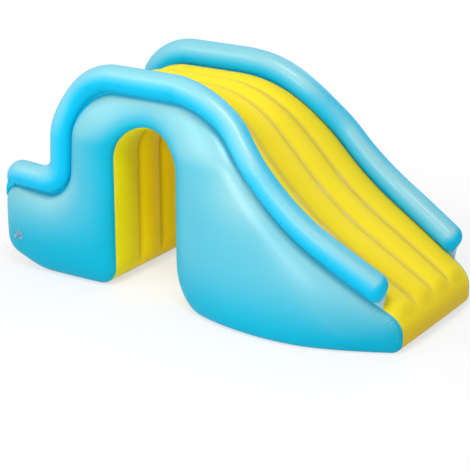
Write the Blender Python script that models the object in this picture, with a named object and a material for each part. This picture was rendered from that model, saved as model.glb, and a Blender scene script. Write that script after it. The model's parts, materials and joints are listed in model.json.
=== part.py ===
"""Inflatable water slide: a heat-welded vinyl body over an arch, with two rail tubes and three air valves.

The body is drawn as one closed outline in the XZ plane. Every sheet, web, rail and flange takes its
place from the stations of that outline, and every width is spread by the same bow.
The rider slides towards +X, +Z is up, and the origin is the middle of the footprint on the floor.
"""
import math

import bmesh
import bpy
import numpy as np
from mathutils import Matrix, Vector
from mathutils.bvhtree import BVHTree
from mathutils.geometry import delaunay_2d_cdt

# Body outline, in metres, measured along X from the rear face
LENGTH = 2.34
CREST_HEIGHT = 0.997
STEP_HEIGHT = 0.435
KEEL_LENGTH = 0.23
KEEL_HEIGHT = 0.085
KEEL_FLOOR_RADIUS = 0.40
KEEL_RADIUS = 0.10
STEP_CORNER_RADIUS = 0.08
RISER_FOOT = 0.43
RISER_FOOT_HEIGHT = 0.412
RISER_LEAN = 0.028
RISER_FOOT_RADIUS = 0.16
CREST_REAR_RADIUS = 0.25
BROW_DISTANCE = 1.245
BROW_RADIUS = 0.54
KNEE_DISTANCE = 1.73
KNEE_HEIGHT = 0.497
KNEE_RADIUS = 1.5
LIP_HEIGHT = 0.150
LIP_TOP_RADIUS = 0.12
LIP_BOTTOM_RADIUS = 0.045
ARCH_REAR = 0.70
ARCH_WIDTH = 0.387
ARCH_BRIDGE = 0.135
ARCH_FOOT_RADIUS = 0.10
ARCH_FRONT_FOOT_RADIUS = 0.20

# Widths and the bow of the inflated body
SEAM_WIDTH = 0.78
GROOVE_PITCH = 0.185
FLOOR_BOW = 0.16
DECK_BOW = 0.04
BOW_FULLNESS = 0.85
LIP_PINCH = 0.034
LIP_PINCH_LENGTH = 0.50
FLOOR_BOW_HEIGHT = 0.5
CREST_PINCH = 0.06
PINCH_START = 0.75

# Sheets
WALL = 0.0025
GAP = 0.0003
SIDE_BULGE = 0.12
DECK_CROWN = 0.018
LIP_CROWN = 0.012
REAR_CROWN = 0.010
LINER_CROWN = 0.006
DECK_CHANNEL = 0.022
CLIMB_CHANNEL = 0.014
LINER_CHANNEL = 0.022
LINER_FADE = 0.16
FLOOR_FADE = 0.075
CHANNEL_RUN_OUT = 0.20
LIP_RUN_OUT = 0.10
STATION_STEP = 0.12
CREST_SEAM_STATION = 1
SIDE_RING_INSET = 0.022
SIDE_GRID_STEP = 0.085

# Rails
RAIL_RADIUS = 0.066
RISER_RAIL_RADIUS = 0.058
RAIL_LIFT = 0.016
RISER_RAIL_LIFT = 0.004
RAIL_OUT = 0.01
RAIL_REAR_DOME = 0.085
RAIL_FRONT_DOME = 0.060
RAIL_FRONT_MARGIN = 0.133
RAIL_REAR_TIP_RADIUS = 0.012
RAIL_SIDES = 10
RAIL_START_SHARE = 0.76
RAIL_REAR_SHARES = (0.12, 0.35, 0.65, 1.0)
RAIL_FRONT_SHARES = (0.92, 0.6, 0.3, 0.08)

# Weld flanges, gussets and tabs along the rails
FLANGE_THICKNESS = 0.0015
TAB_LENGTH = 0.065
TAB_PROUD = 0.006

# Inner webs
WEB_THICKNESS = 0.002
WEB_HOLE_RADIUS = 0.055
WEB_HOLE_SIDES = 12

# Valves: the main one on the side panel and the smaller ones on the rails
MAIN_VALVE_DISTANCE = 0.12
MAIN_VALVE_HEIGHT = 0.185
RAIL_VALVE_DISTANCE = 0.215
MAIN_STEM_RADIUS = 0.009
RAIL_STEM_RADIUS = 0.007
STEM_LENGTH_SHARE = 3.1
VALVE_WALL = 0.0016
VALVE_FLANGE_WIDTH = 0.016
VALVE_FLANGE_THICKNESS = 0.0015
VALVE_FIT = 0.0004
VALVE_HOLE_DEPTH = 0.010
STEM_INSIDE = 0.006
LUG_REACH = 0.0055
LUG_THICKNESS = 0.003
LUG_WIDTH = 0.007
CAP_THICKNESS = 0.003
CAP_OVERHANG = 0.001
HINGE_OVERHANG = 0.0008
SKIRT_DEPTH = 0.004
SKIRT_TAPER = 0.0012
FLAP_THICKNESS = 0.0008
VALVE_SIDES = 16

BLUE = (0.060, 0.590, 0.830, 1.0)
YELLOW = (0.900, 0.730, 0.040, 1.0)
CLEAR_VINYL = (0.72, 0.86, 0.92, 1.0)
WEB_WHITE = (0.80, 0.83, 0.84, 1.0)

HALF = SEAM_WIDTH / 2
REAR_X = REAR_CROWN - LENGTH / 2
NOSE_X = LENGTH / 2 - LIP_CROWN


def smooth(value):
    """Ease from 0 to 1 as the value goes from 0 to 1."""
    value = np.clip(value, 0.0, 1.0)
    return value * value * (3.0 - 2.0 * value)


# Outline


def outline_corners():
    """Corners of the body outline as x, z and fillet radius, clockwise seen from the right-hand side."""
    riser_x = REAR_X + RISER_FOOT
    arch_rear = REAR_X + ARCH_REAR
    arch_front = arch_rear + ARCH_WIDTH
    arch_top = CREST_HEIGHT - ARCH_BRIDGE
    head_radius = ARCH_WIDTH / 2
    return [
        (REAR_X + KEEL_LENGTH, 0.0, KEEL_FLOOR_RADIUS),
        (REAR_X, KEEL_HEIGHT, KEEL_RADIUS),
        (REAR_X, STEP_HEIGHT, STEP_CORNER_RADIUS),
        (riser_x, RISER_FOOT_HEIGHT, RISER_FOOT_RADIUS),
        (riser_x + RISER_LEAN, CREST_HEIGHT, CREST_REAR_RADIUS),
        (REAR_X + BROW_DISTANCE, CREST_HEIGHT, BROW_RADIUS),
        (REAR_X + KNEE_DISTANCE, KNEE_HEIGHT, KNEE_RADIUS),
        (NOSE_X, LIP_HEIGHT, LIP_TOP_RADIUS),
        (NOSE_X, 0.0, LIP_BOTTOM_RADIUS),
        (arch_front, 0.0, ARCH_FRONT_FOOT_RADIUS),
        (arch_front, arch_top, head_radius),
        (arch_rear, arch_top, head_radius),
        (arch_rear, 0.0, ARCH_FOOT_RADIUS),
    ]


def fillet(before, corner, after, radius):
    """Points of the arc that rounds a corner, kept within its two edges."""
    back = (before - corner).normalized()
    ahead = (after - corner).normalized()
    half_angle = back.angle(ahead) / 2
    reach = radius / math.tan(half_angle)
    reach = min(reach, 0.5 * (before - corner).length, 0.5 * (after - corner).length)
    radius = reach * math.tan(half_angle)
    centre = corner + (back + ahead).normalized() * (radius / math.sin(half_angle))
    start = corner + back * reach - centre
    turn = math.pi - 2 * half_angle
    if start.cross(corner + ahead * reach - centre) < 0:
        turn = -turn
    count = max(2, math.ceil(abs(turn) / math.radians(15)))
    points = []
    for i in range(count + 1):
        angle = turn * i / count
        spun = Vector((start.x * math.cos(angle) - start.y * math.sin(angle),
                       start.x * math.sin(angle) + start.y * math.cos(angle)))
        points.append(centre + spun)
    return points


def build_outline():
    """Stations round the body: their points, and the first and last station of each corner."""
    corners = outline_corners()
    points, spans = [], []
    for i, (x, z, radius) in enumerate(corners):
        before = Vector(corners[i - 1][:2])
        after = Vector(corners[(i + 1) % len(corners)][:2])
        arc = fillet(before, Vector((x, z)), after, radius)
        if points:
            start, end = points[-1], arc[0]
            steps = math.ceil((end - start).length / STATION_STEP - WALL)
            points.extend(start.lerp(end, k / steps) for k in range(1, steps))
            if (points[-1] - arc[0]).length < WALL:
                arc = arc[1:]
        spans.append((len(points), len(points) + len(arc) - 1))
        points.extend(arc)
    start, end = points[-1], points[0]
    steps = math.ceil((end - start).length / STATION_STEP)
    points.extend(start.lerp(end, k / steps) for k in range(1, steps))
    return np.array([tuple(p) for p in points]), spans


def outward_normals(points):
    """Unit normals of the closed outline, pointing out of the body."""
    ahead = np.roll(points, -1, axis=0) - points
    behind = points - np.roll(points, 1, axis=0)
    ahead /= np.linalg.norm(ahead, axis=1)[:, None]
    behind /= np.linalg.norm(behind, axis=1)[:, None]
    tangent = ahead + behind
    tangent /= np.linalg.norm(tangent, axis=1)[:, None]
    return np.stack([-tangent[:, 1], tangent[:, 0]], axis=1)


OUTLINE, SPANS = build_outline()
NORMALS = outward_normals(OUTLINE)
STEP_MIDDLE = sum(SPANS[2]) // 2
CREST_SEAM = SPANS[4][1] + CREST_SEAM_STATION
DECK_END = SPANS[8][1]
LINER_START = SPANS[9][0]
LINER_END = SPANS[12][1]


def stretch(first, last):
    """Station numbers from first to last, going round the end of the outline where needed."""
    if last < first:
        last += len(OUTLINE)
    return [k % len(OUTLINE) for k in range(first, last + 1)]


def path_lengths(stations):
    """Distance along the outline from the first of the stations to each of them."""
    points = OUTLINE[stations]
    steps = np.linalg.norm(np.diff(points, axis=0), axis=1)
    return np.concatenate([[0.0], np.cumsum(steps)])


def section_heights():
    """Height of the sheet's crown and of its channels above the outline, at each station."""
    crown = np.zeros(len(OUTLINE))
    channel = np.zeros(len(OUTLINE))
    crown[stretch(SPANS[0][0], STEP_MIDDLE)] = REAR_CROWN
    climb = stretch(STEP_MIDDLE, CREST_SEAM)
    along = path_lengths(climb)
    rise = smooth(along / along[-1])
    crown[climb] = REAR_CROWN + (DECK_CROWN - REAR_CROWN) * rise
    channel[climb] = CLIMB_CHANNEL * smooth(along / CHANNEL_RUN_OUT) + (DECK_CHANNEL - CLIMB_CHANNEL) * rise
    deck = stretch(CREST_SEAM, DECK_END)
    along = path_lengths(deck)
    to_nose = along[deck.index(SPANS[7][1])] - along
    crown[deck] = LIP_CROWN + (DECK_CROWN - LIP_CROWN) * smooth(to_nose / CHANNEL_RUN_OUT)
    lip_start = along[deck.index(SPANS[7][0])]
    channel[deck] = DECK_CHANNEL * smooth((lip_start - along) / LIP_RUN_OUT)
    liner = stretch(LINER_START, LINER_END)
    crown[liner] = LINER_CROWN
    channel[liner] = LINER_CHANNEL * smooth(OUTLINE[liner, 1] / LINER_FADE)
    above_floor = smooth(OUTLINE[:, 1] / FLOOR_FADE)
    return crown * above_floor, channel * above_floor


CROWN, CHANNEL = section_heights()


def crown_share(y):
    """Share of the crown's height at a place across the body."""
    return 1.0 - (y / HALF) ** 2


def spread(x, z):
    """How far the seams stand out from straight: bowed at the front leg, pinched at the crest and lip."""
    arch_front = REAR_X + ARCH_REAR + ARCH_WIDTH
    along = np.clip((x - arch_front) / (NOSE_X - arch_front), 0.0, 1.0)
    low = np.clip(1.0 - z / FLOOR_BOW_HEIGHT, 0.0, 1.0)
    bow = (DECK_BOW + (FLOOR_BOW - DECK_BOW) * low ** 2) * np.sin(math.pi * along) ** BOW_FULLNESS
    pinch = CREST_PINCH * smooth((z - PINCH_START) / (CREST_HEIGHT - PINCH_START))
    toe_in = LIP_PINCH * smooth((x - NOSE_X) / LIP_PINCH_LENGTH + 1.0)
    return bow - pinch - toe_in


def bowed(point):
    """Move a point of the straight body to its place in the inflated one."""
    x, y, z = point
    return Vector((x, y + float(spread(x, z)) * max(-1.0, min(1.0, y / HALF)), z))


# Objects and materials


def material(name, colour, roughness):
    """Plain vinyl with a colour and a roughness."""
    made = bpy.data.materials.get(name) or bpy.data.materials.new(name)
    made.use_nodes = True
    shader = made.node_tree.nodes["Principled BSDF"]
    shader.inputs["Base Color"].default_value = colour
    shader.inputs["Roughness"].default_value = roughness
    shader.inputs["Metallic"].default_value = 0.0
    return made


def add_object(name, bm, colour, roughness=0.28):
    """Close a bmesh into a named object with its own material."""
    bmesh.ops.recalc_face_normals(bm, faces=bm.faces)
    mesh = bpy.data.meshes.new(name)
    bm.to_mesh(mesh)
    bm.free()
    mesh.materials.append(material(name + "_vinyl", colour, roughness))
    mesh.shade_smooth()
    mesh.set_sharp_from_angle(angle=math.radians(40))
    made = bpy.data.objects.new(name, mesh)
    bpy.context.collection.objects.link(made)
    return made


def bridge_rows(bm, rows, closed=False):
    """Quads between neighbouring rows of vertices."""
    for near, far in zip(rows, rows[1:]):
        count = len(near) if closed else len(near) - 1
        for j in range(count):
            k = (j + 1) % len(near)
            bm.faces.new((near[j], near[k], far[k], far[j]))


def shell_from_grids(outer, inner):
    """Closed sheet between an outer and an inner grid of points."""
    bm = bmesh.new()
    top = [[bm.verts.new(bowed(p)) for p in row] for row in outer]
    bottom = [[bm.verts.new(bowed(p)) for p in row] for row in inner]
    bridge_rows(bm, top)
    bridge_rows(bm, bottom)
    for edge in (0, -1):
        bridge_rows(bm, [top[edge], bottom[edge]])
        bridge_rows(bm, [[row[edge] for row in top], [row[edge] for row in bottom]])
    return bm


# Sheets across the body


def groove_lines():
    """Places across the body where channels meet, seams included."""
    reach = HALF - GAP
    return [-reach, -GROOVE_PITCH, 0.0, GROOVE_PITCH, reach]


def across(channel_shares):
    """Places across the body and the share of the channel's height at each."""
    places = []
    lines = groove_lines()
    for start, end in zip(lines, lines[1:]):
        for share in channel_shares[:-1]:
            places.append((start + (end - start) * share, 4 * share * (1 - share)))
    places.append((lines[-1], 0.0))
    return places


FINE_SHARES = (0.0, 0.25, 0.75, 1.0)
COARSE_SHARES = (0.0, 0.5, 1.0)


def strip_sheet(name, first, last, shares, colour):
    """Sheet that spans the body between two stations of the outline, cut square at both ends."""
    stations = stretch(first, last)
    outer, inner = [], []
    for i, k in enumerate(stations):
        x, z = OUTLINE[k]
        nx, nz = NORMALS[k]
        shift = 0.0
        if i == 0:
            shift = GAP / 2
        if i == len(stations) - 1:
            shift = -GAP / 2
        x += nz * shift
        z -= nx * shift
        top_row, bottom_row = [], []
        for y, share in across(shares):
            rise = CROWN[k] * crown_share(y) * (abs(y) < HALF - WALL) + CHANNEL[k] * share
            top_row.append((x + nx * rise, y, z + nz * rise))
            fall = rise - WALL
            bottom_row.append((x + nx * fall, y, z + nz * fall))
        outer.append(top_row)
        inner.append(bottom_row)
    return add_object(name, shell_from_grids(outer, inner), colour)


# Side panels


def side_stations():
    """Points of the side panel's plan: its rim, a ring just inside it, and a grid of rows beyond."""
    inset = OUTLINE - NORMALS * SIDE_RING_INSET
    plan = [Vector(p) for p in OUTLINE]
    rim = [Vector(p) for p in OUTLINE]
    for k in range(0, len(inset)):
        plan.append(Vector(inset[k]))
    low, high = OUTLINE.min(axis=0), OUTLINE.max(axis=0)
    row_step = SIDE_GRID_STEP * math.sqrt(0.75)
    rows = int((high[1] - low[1]) / row_step)
    columns = int((high[0] - low[0]) / SIDE_GRID_STEP)
    for row in range(rows + 1):
        for column in range(columns + 1):
            x = low[0] + (column + 0.5 * (row % 2)) * SIDE_GRID_STEP
            z = low[1] + (row + 0.5) * row_step
            if inside(x, z) and rim_distance(x, z) > SIDE_RING_INSET + 0.45 * SIDE_GRID_STEP:
                plan.append(Vector((x, z)))
    return plan, len(rim)


def inside(x, z):
    """Whether a place lies within the outline, by counting crossings."""
    following = np.roll(OUTLINE, -1, axis=0)
    x0, z0, x1, z1 = OUTLINE[:, 0], OUTLINE[:, 1], following[:, 0], following[:, 1]
    crosses = (z0 > z) != (z1 > z)
    with np.errstate(divide="ignore", invalid="ignore"):
        at = x0 + (z - z0) / (z1 - z0) * (x1 - x0)
    return bool(np.sum(crosses & (x < at)) % 2)


def rim_distance(x, z):
    """Distance from a place to the outline."""
    following = np.roll(OUTLINE, -1, axis=0)
    edge = following - OUTLINE
    to_place = np.array([x, z]) - OUTLINE
    share = np.clip(np.sum(to_place * edge, axis=1) / np.sum(edge * edge, axis=1), 0.0, 1.0)
    return float(np.min(np.linalg.norm(to_place - edge * share[:, None], axis=1)))


def inflate(points, triangles, rim_count):
    """Share of the full bulge at each point: the root of a membrane's deflection under pressure."""
    count = len(points)
    stiffness = np.zeros((count, count))
    load = np.zeros(count)
    for triangle in triangles:
        corner = points[list(triangle)]
        edges = np.roll(corner, -1, axis=0) - np.roll(corner, 1, axis=0)
        first, second = corner[1] - corner[0], corner[2] - corner[0]
        area = 0.5 * abs(first[0] * second[1] - first[1] * second[0])
        for a in range(3):
            load[triangle[a]] += area / 3
            for b in range(3):
                stiffness[triangle[a], triangle[b]] += edges[a] @ edges[b] / (4 * area)
    free = np.arange(rim_count, count)
    height = np.zeros(count)
    height[free] = np.linalg.solve(stiffness[np.ix_(free, free)], load[free])
    return np.sqrt(np.clip(height / height.max(), 0.0, None))


def side_panel(name, side, plan, triangles, bulge, rim_count):
    """Pillowed side sheet with the arch cut out, its rim flat against the seam plane."""
    bm = bmesh.new()
    outer, inner = [], []
    for i, place in enumerate(plan):
        outer.append(bm.verts.new(bowed((place.x, side * (HALF + bulge[i]), place.y))))
        if i < rim_count:
            x, z = OUTLINE[i] - NORMALS[i] * WALL
            inner.append(bm.verts.new(bowed((x, side * HALF, z))))
        else:
            inner.append(bm.verts.new(bowed((place.x, side * (HALF + bulge[i] - WALL), place.y))))
    for a, b, c in triangles:
        bm.faces.new((outer[a], outer[b], outer[c]))
        bm.faces.new((inner[c], inner[b], inner[a]))
    for i in range(rim_count):
        k = (i + 1) % rim_count
        bm.faces.new((outer[i], outer[k], inner[k], inner[i]))
    return add_object(name, bm, BLUE)


def build_sides():
    """Both side panels from one plan and one inflated height."""
    plan, rim_count = side_stations()
    rim = list(range(rim_count))
    edges = [(i, (i + 1) % rim_count) for i in rim]
    found = delaunay_2d_cdt(plan, edges, [rim], 1, 1e-7)
    kept, triangles = found[0], [tuple(face) for face in found[2]]
    points = np.array([tuple(p) for p in kept])
    bulge = SIDE_BULGE * inflate(points, triangles, rim_count)
    right = side_panel("right_side_panel", -1, kept, triangles, bulge, rim_count)
    left = side_panel("left_side_panel", 1, kept, triangles, bulge, rim_count)
    return right, left


# Inner webs


def web_heights(y):
    """Outward offset of a web's rim at each station, just inside the sheets it holds."""
    return CROWN * crown_share(y) - WALL - GAP


def web_hole_centres():
    """Air holes: two in the rear leg, one over the arch and four in the front leg."""
    arch_front_share = (ARCH_REAR + ARCH_WIDTH) / LENGTH
    rear_shares = [(0.13, 0.55)]
    front_shares = [(0.30, 0.40), (0.30, 0.80), (0.62, 0.36)]
    arch_share = ARCH_REAR / LENGTH
    centres = []
    for along, up in rear_shares:
        centres.append((REAR_X + LENGTH * along * (arch_share / 0.3), STEP_HEIGHT * up))
    run = LENGTH * (1 - arch_front_share)
    for along, up in front_shares:
        x = REAR_X + ARCH_REAR + ARCH_WIDTH + run * along
        top = np.interp(x, [REAR_X + BROW_DISTANCE, REAR_X + KNEE_DISTANCE, NOSE_X],
                        [CREST_HEIGHT, KNEE_HEIGHT, LIP_HEIGHT])
        centres.append((x, top * up))
    return centres


def inner_web(name, y):
    """Tension web across the whole body section, with round air holes."""
    rim = OUTLINE + NORMALS * web_heights(y)[:, None]
    bm = bmesh.new()
    loops = [rim]
    for x, z in web_hole_centres():
        hole = []
        for k in range(WEB_HOLE_SIDES):
            angle = 2 * math.pi * k / WEB_HOLE_SIDES
            hole.append((x + WEB_HOLE_RADIUS * math.cos(angle), z + WEB_HOLE_RADIUS * math.sin(angle)))
        loops.append(hole)
    edges = []
    for loop in loops:
        ring = [bm.verts.new((x, y - WEB_THICKNESS / 2, z)) for x, z in loop]
        edges.extend(bm.edges.new((ring[i - 1], ring[i])) for i in range(len(ring)))
    bmesh.ops.triangle_fill(bm, use_beauty=True, edges=edges)
    grown = bmesh.ops.extrude_face_region(bm, geom=bm.faces[:])
    for item in grown["geom"]:
        if isinstance(item, bmesh.types.BMVert):
            item.co.y += WEB_THICKNESS
    for vert in bm.verts:
        vert.co = bowed(vert.co)
    return add_object(name, bm, WEB_WHITE, 0.4)


# Rails and their flanges


def rail_stations():
    """Points, normals and tube radii along a rail, from its gathered rear end to its round front end."""
    first, last = SPANS[2]
    start = first + (last - first) * RAIL_START_SHARE
    tip_x = LENGTH / 2 - RAIL_FRONT_MARGIN
    deck = stretch(CREST_SEAM, DECK_END)
    tip = next(k for k in deck if OUTLINE[k][0] > tip_x)
    share = (tip_x - OUTLINE[tip - 1][0]) / (OUTLINE[tip][0] - OUTLINE[tip - 1][0])
    places = [start] + list(range(math.ceil(start + 0.01), tip)) + [tip - 1 + share]
    points = np.array([station_point(place) for place in places])
    along = np.concatenate([[0.0], np.cumsum(np.linalg.norm(np.diff(points, axis=0), axis=1))])
    return places, along


def station_point(place):
    """Point of the outline at a fractional station number."""
    low = math.floor(place)
    share = place - low
    return OUTLINE[low] * (1 - share) + OUTLINE[(low + 1) % len(OUTLINE)] * share


def station_normal(place):
    """Outward normal at a fractional station number."""
    low = math.floor(place)
    share = place - low
    normal = NORMALS[low] * (1 - share) + NORMALS[(low + 1) % len(OUTLINE)] * share
    return normal / np.linalg.norm(normal)


def place_after(place, distance):
    """Place that lies a distance further along the outline."""
    ahead = math.floor(place) + 1
    while True:
        step = np.linalg.norm(station_point(ahead) - station_point(place))
        if step >= distance:
            return place + (ahead - place) * distance / step
        distance -= step
        place, ahead = ahead, ahead + 1


def rail_rings():
    """Rings of a rail as place along the outline, centre offset and radius."""
    places, along = rail_stations()
    total = along[-1]
    ends = [RAIL_REAR_DOME * share for share in RAIL_REAR_SHARES]
    ends += [total - RAIL_FRONT_DOME * share for share in RAIL_FRONT_SHARES]
    clear = [s for s in ends if min(abs(along - s)) > RAIL_REAR_TIP_RADIUS / 2]
    wanted = sorted([float(s) for s in along] + clear)
    rings = []
    for s in wanted:
        place = float(np.interp(s, along, places))
        level = float(station_normal(place)[1] ** 2)
        full = RISER_RAIL_RADIUS + (RAIL_RADIUS - RISER_RAIL_RADIUS) * level
        rear = min(1.0, s / RAIL_REAR_DOME)
        swell = math.sqrt(1 - (1 - rear) ** 2)
        radius = RAIL_REAR_TIP_RADIUS + (full - RAIL_REAR_TIP_RADIUS) * swell
        offset = radius + RISER_RAIL_LIFT + (RAIL_LIFT - RISER_RAIL_LIFT) * level
        front = 1 - min(1.0, (total - s) / RAIL_FRONT_DOME)
        if front > 0:
            radius *= math.sqrt(max(0.0, 1 - front * front))
        rings.append((place, offset, radius))
    return rings


def rail_centre(place, offset):
    """Centre of a rail's ring in the XZ plane."""
    return station_point(place) + station_normal(place) * offset


def build_rail(name, side):
    """Hollow tube that sits on the edge seam, gathered at the rear and round at the front."""
    bm = bmesh.new()
    rings = []
    centre_y = side * (HALF + RAIL_OUT)
    contact = math.asin(RAIL_OUT / RAIL_RADIUS)
    for place, offset, radius in rail_rings():
        x, z = rail_centre(place, offset)
        nx, nz = station_normal(place)
        if radius < WALL:
            rings.append([bm.verts.new(bowed((x, centre_y, z)))])
            continue
        ring = []
        for j in range(RAIL_SIDES):
            angle = contact + 2 * math.pi * j / RAIL_SIDES
            up = -radius * math.cos(angle)
            y = centre_y - side * radius * math.sin(angle)
            ring.append(bm.verts.new(bowed((x + nx * up, y, z + nz * up))))
        rings.append(ring)
    tip = rings.pop()
    bridge_rows(bm, rings, closed=True)
    bm.faces.new(rings[0])
    for j in range(RAIL_SIDES):
        bm.faces.new((rings[-1][j], rings[-1][(j + 1) % RAIL_SIDES], tip[0]))
    made = add_object(name, bm, BLUE, 0.2)
    wall = made.modifiers.new("wall", "SOLIDIFY")
    wall.thickness = WALL
    wall.offset = -1
    return made


def contact_height(offset, radius):
    """Height above the outline of the rail's underside over the seam."""
    reach = max(0.0, min(RAIL_OUT - FLANGE_THICKNESS, radius))
    return offset - math.sqrt(radius * radius - reach * reach)


def build_flange(name, side):
    """Narrow weld strip between a rail and the edge seam, ending in a pointed tab at the rear."""
    rings = [ring for ring in rail_rings() if ring[2] > RAIL_RADIUS * 0.7 or ring[0] < CREST_SEAM]
    tab = tab_places(rings[0][0])
    low_rows, high_rows = [], []
    for i, place in enumerate(tab):
        share = i / len(tab)
        low_rows.append((place, GAP))
        high_rows.append((place, WALL / 2 + (TAB_PROUD - WALL / 2) * share))
    for place, offset, radius in rings:
        low_rows.append((place, GAP))
        high_rows.append((place, contact_height(offset, radius) - GAP))
    return add_object(name, strip_on_edge(side, low_rows, high_rows), BLUE, 0.35)


def tab_places(start):
    """Places of the rear tab, from its point to the start of the rail, through every station between."""
    places, length = [], 0.0
    place = start
    while length < TAB_LENGTH:
        following = math.ceil(place) - 1
        step = np.linalg.norm(station_point(following) - station_point(place))
        share = min(1.0, (TAB_LENGTH - length) / step)
        place -= (place - following) * share
        length += step * share
        places.insert(0, place)
        if share < 1.0:
            break
    return places


def strip_on_edge(side, low_rows, high_rows):
    """Upright strip on the seam plane between two lines given as place and height."""
    bm = bmesh.new()
    rows = []
    for (place, low), (_, high) in zip(low_rows, high_rows):
        x, z = station_point(place)
        nx, nz = station_normal(place)
        row = []
        outside = HALF + FLANGE_THICKNESS
        for height, y in ((low, HALF), (high, HALF), (high, outside), (low, outside)):
            row.append(bm.verts.new(bowed((x + nx * height, side * y, z + nz * height))))
        rows.append(row)
    bridge_rows(bm, rows, closed=True)
    bm.faces.new(rows[0])
    bm.faces.new(rows[-1])
    return bm


def build_gusset(name, side):
    """Web of vinyl between the rail's round front end and the seam, with a plumb front edge."""
    rings = [ring for ring in rail_rings() if ring[0] > CREST_SEAM]
    flange_end = [ring for ring in rings if ring[2] > RAIL_RADIUS * 0.7][-1]
    dome = [ring for ring in rings if ring[0] > flange_end[0] and ring[2] > RAIL_OUT]
    low_rows = [(flange_end[0] + GAP / STATION_STEP, GAP)]
    high_rows = [(low_rows[0][0], contact_height(*flange_end[1:]) - GAP)]
    for place, offset, radius in dome:
        low_rows.append((place, GAP))
        high_rows.append((place, contact_height(offset, radius) - WALL / 4))
    tip, tip_offset, _ = rings[-1]
    nx, nz = station_normal(tip)
    head = place_after(tip, FLANGE_THICKNESS)
    foot = place_after(tip, tip_offset * nx / nz)
    low_rows.extend([(head, GAP), (foot, GAP)])
    high_rows.extend([(head, tip_offset), (foot, WALL)])
    return add_object(name, strip_on_edge(side, low_rows, high_rows), CLEAR_VINYL, 0.3)


# Valves


def lathe(bm, profile, sides=VALVE_SIDES):
    """Turn a closed profile of radius and height round the Z axis; zero radii close on the axis."""
    rows = []
    for radius, height in profile:
        if radius == 0:
            rows.append([bm.verts.new((0, 0, height))])
            continue
        row = []
        for j in range(sides):
            angle = 2 * math.pi * j / sides
            row.append(bm.verts.new((radius * math.cos(angle), radius * math.sin(angle), height)))
        rows.append(row)
    on_axis = len(rows[0]) == 1
    pairs = list(zip(rows, rows[1:]))
    if not on_axis:
        pairs.append((rows[-1], rows[0]))
    for near, far in pairs:
        for j in range(sides):
            k = (j + 1) % sides
            corners = [near[j % len(near)], near[k % len(near)], far[k % len(far)], far[j % len(far)]]
            unique = list(dict.fromkeys(corners))
            bm.faces.new(unique)


def block(bm, low, high):
    """Box between two corners."""
    made = bmesh.ops.create_cube(bm, size=1.0)
    for vert in made["verts"]:
        for axis in range(3):
            vert.co[axis] = low[axis] if vert.co[axis] < 0 else high[axis]


def helper(name, build, *arguments):
    """Object that only shapes others: hidden from renders and drawn as wire."""
    bm = bmesh.new()
    build(bm, *arguments)
    made = add_object(name, bm, WEB_WHITE)
    made.hide_render = True
    made.display_type = "WIRE"
    return made


def combine(target, tool, operation):
    """Exact Boolean of a helper with an object."""
    modifier = target.modifiers.new(tool.name, "BOOLEAN")
    modifier.operation = operation
    modifier.object = tool


def surface_frame(surface, origin, direction):
    """Place and outward normal where a ray from inside leaves the surface."""
    depsgraph = bpy.context.evaluated_depsgraph_get()
    tree = BVHTree.FromObject(surface, depsgraph)
    start, hit, normal = Vector(origin), None, None
    while True:
        location, face_normal, _, _ = tree.ray_cast(start, Vector(direction))
        if location is None:
            break
        hit, normal = location, face_normal
        start = location + Vector(direction) * GAP
    if normal.dot(Vector(direction)) < 0:
        normal = -normal
    ahead = (Vector((1, 0, 0)) - normal * normal.x).normalized()
    turn = Matrix((ahead, normal.cross(ahead), normal)).transposed()
    return Matrix.Translation(hit) @ turn.to_4x4()


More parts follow.
